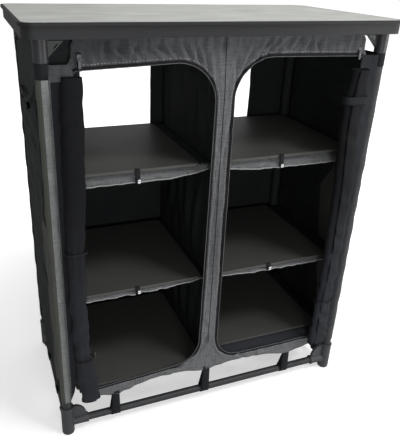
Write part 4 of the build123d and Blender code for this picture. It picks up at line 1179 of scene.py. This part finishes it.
mouth_y = np.linspace(pocket_half, -pocket_half, 23)
mouth_line = list(zip(mouth_y.tolist(), mouth(mouth_y).tolist()))
flat, faces = cut_cloth([(-pocket_half, pocket_low), (pocket_half, pocket_low)] + mouth_line, 0.0075)
hang("side_pocket_cloth", pocket_places(*flat.T, 0.0016), flipped(faces), flat, black_weave,
     "black_cloth", "side_pocket", "left_side_panel")
across, along = grid_of(np.linspace(-0.0055, 0.0055, 3), np.linspace(0.165, -0.180, 40))
strap_out = 0.003 + 0.008 * (1 - ((along + 0.007) / 0.173) ** 4) * (1 - 0.6 * ease(along, -0.06, 0.10))
strap_places = np.column_stack((-(leg_x + channel_radius + strap_out), along, mouth(along) + 0.023 + across))
sew("side_pocket_strap", strap_places, quads(40, 3), np.column_stack((across, along)), black_weave,
    cloth_thickness, "black_cloth", "side_pocket")
make_pipe("side_pocket_binding", pocket_places(*np.array(mouth_line).T, 0.0020), 0.0018, black_weave,
          "black_cloth", "side_pocket", 8)


# %% [markdown]
# The studio: a pale floor and a white world for the camera, a soft lamp high at the right front, a
# low one at the right that rakes over the folds, and weaker ones round about. The floor glows for
# the camera only, more so further away, so it is evenly white and keeps the cupboard's shadow.

# %% Studio
for name, place, target_z, size, power in (
        ("key_lamp", (1.2, -1.6, 3.3), 0.5, 0.8, 54), ("side_lamp", (2.3, -1.4, 0.8), 0.5, 0.5, 32),
        ("fill_lamp", (-0.45, -2.8, 1.0), 0.4, 0.8, 24), ("back_lamp", (1.4, 2.4, 2.4), 0.5, 2.2, 5),
        ("top_lamp", (0.3, 0.0, 3.2), 1.0, 2.0, 8)):
    data = bpy.data.lights.new(name, "AREA")
    data.size = size
    data.energy = power
    lamp = add_object(name, data)
    lamp.location = place
    lamp.rotation_euler = (Vector((0, 0, target_z)) - Vector(place)).to_track_quat("-Z", "Y").to_euler()

world = bpy.data.worlds.new("studio")
bpy.context.scene.world = world
world.use_nodes = True
tree = world.node_tree
background = tree.nodes["Background"].inputs
path = add_node(tree, "LightPath").outputs
seen = calc(tree, "MAXIMUM", path["Is Camera Ray"], path["Is Transmission Ray"])
join(tree, calc(tree, "MULTIPLY_ADD", seen, 0.58, 0.42), background["Strength"])
background["Color"].default_value = (1, 1, 1, 1)

floor_material, tree, shader = new_material("pale_floor", 0.9)
shader["Base Color"].default_value = shade(214, 214, 214)
shader["Emission Color"].default_value = (1, 1, 1, 1)
spot = add_node(tree, "TexCoord").outputs["Object"]
distance = add_node(tree, "VectorMath", operation="LENGTH", vector=spot).outputs["Value"]
far_off = add_node(tree, "MapRange", interpolation_type="SMOOTHSTEP", value=distance, from_min=0.5,
                   from_max=1.8, to_min=0.50, to_max=1.0).outputs[0]
for_camera = add_node(tree, "LightPath").outputs["Is Camera Ray"]
join(tree, calc(tree, "MULTIPLY", for_camera, far_off), shader["Emission Strength"])
floor_mesh = bpy.data.meshes.new("floor")
floor_mesh.from_pydata([(-6, -6, 0), (6, -6, 0), (6, 6, 0), (-6, 6, 0)], [], [[0, 1, 2, 3]])
floor_mesh.materials.append(floor_material)
floor = add_object("floor", floor_mesh)
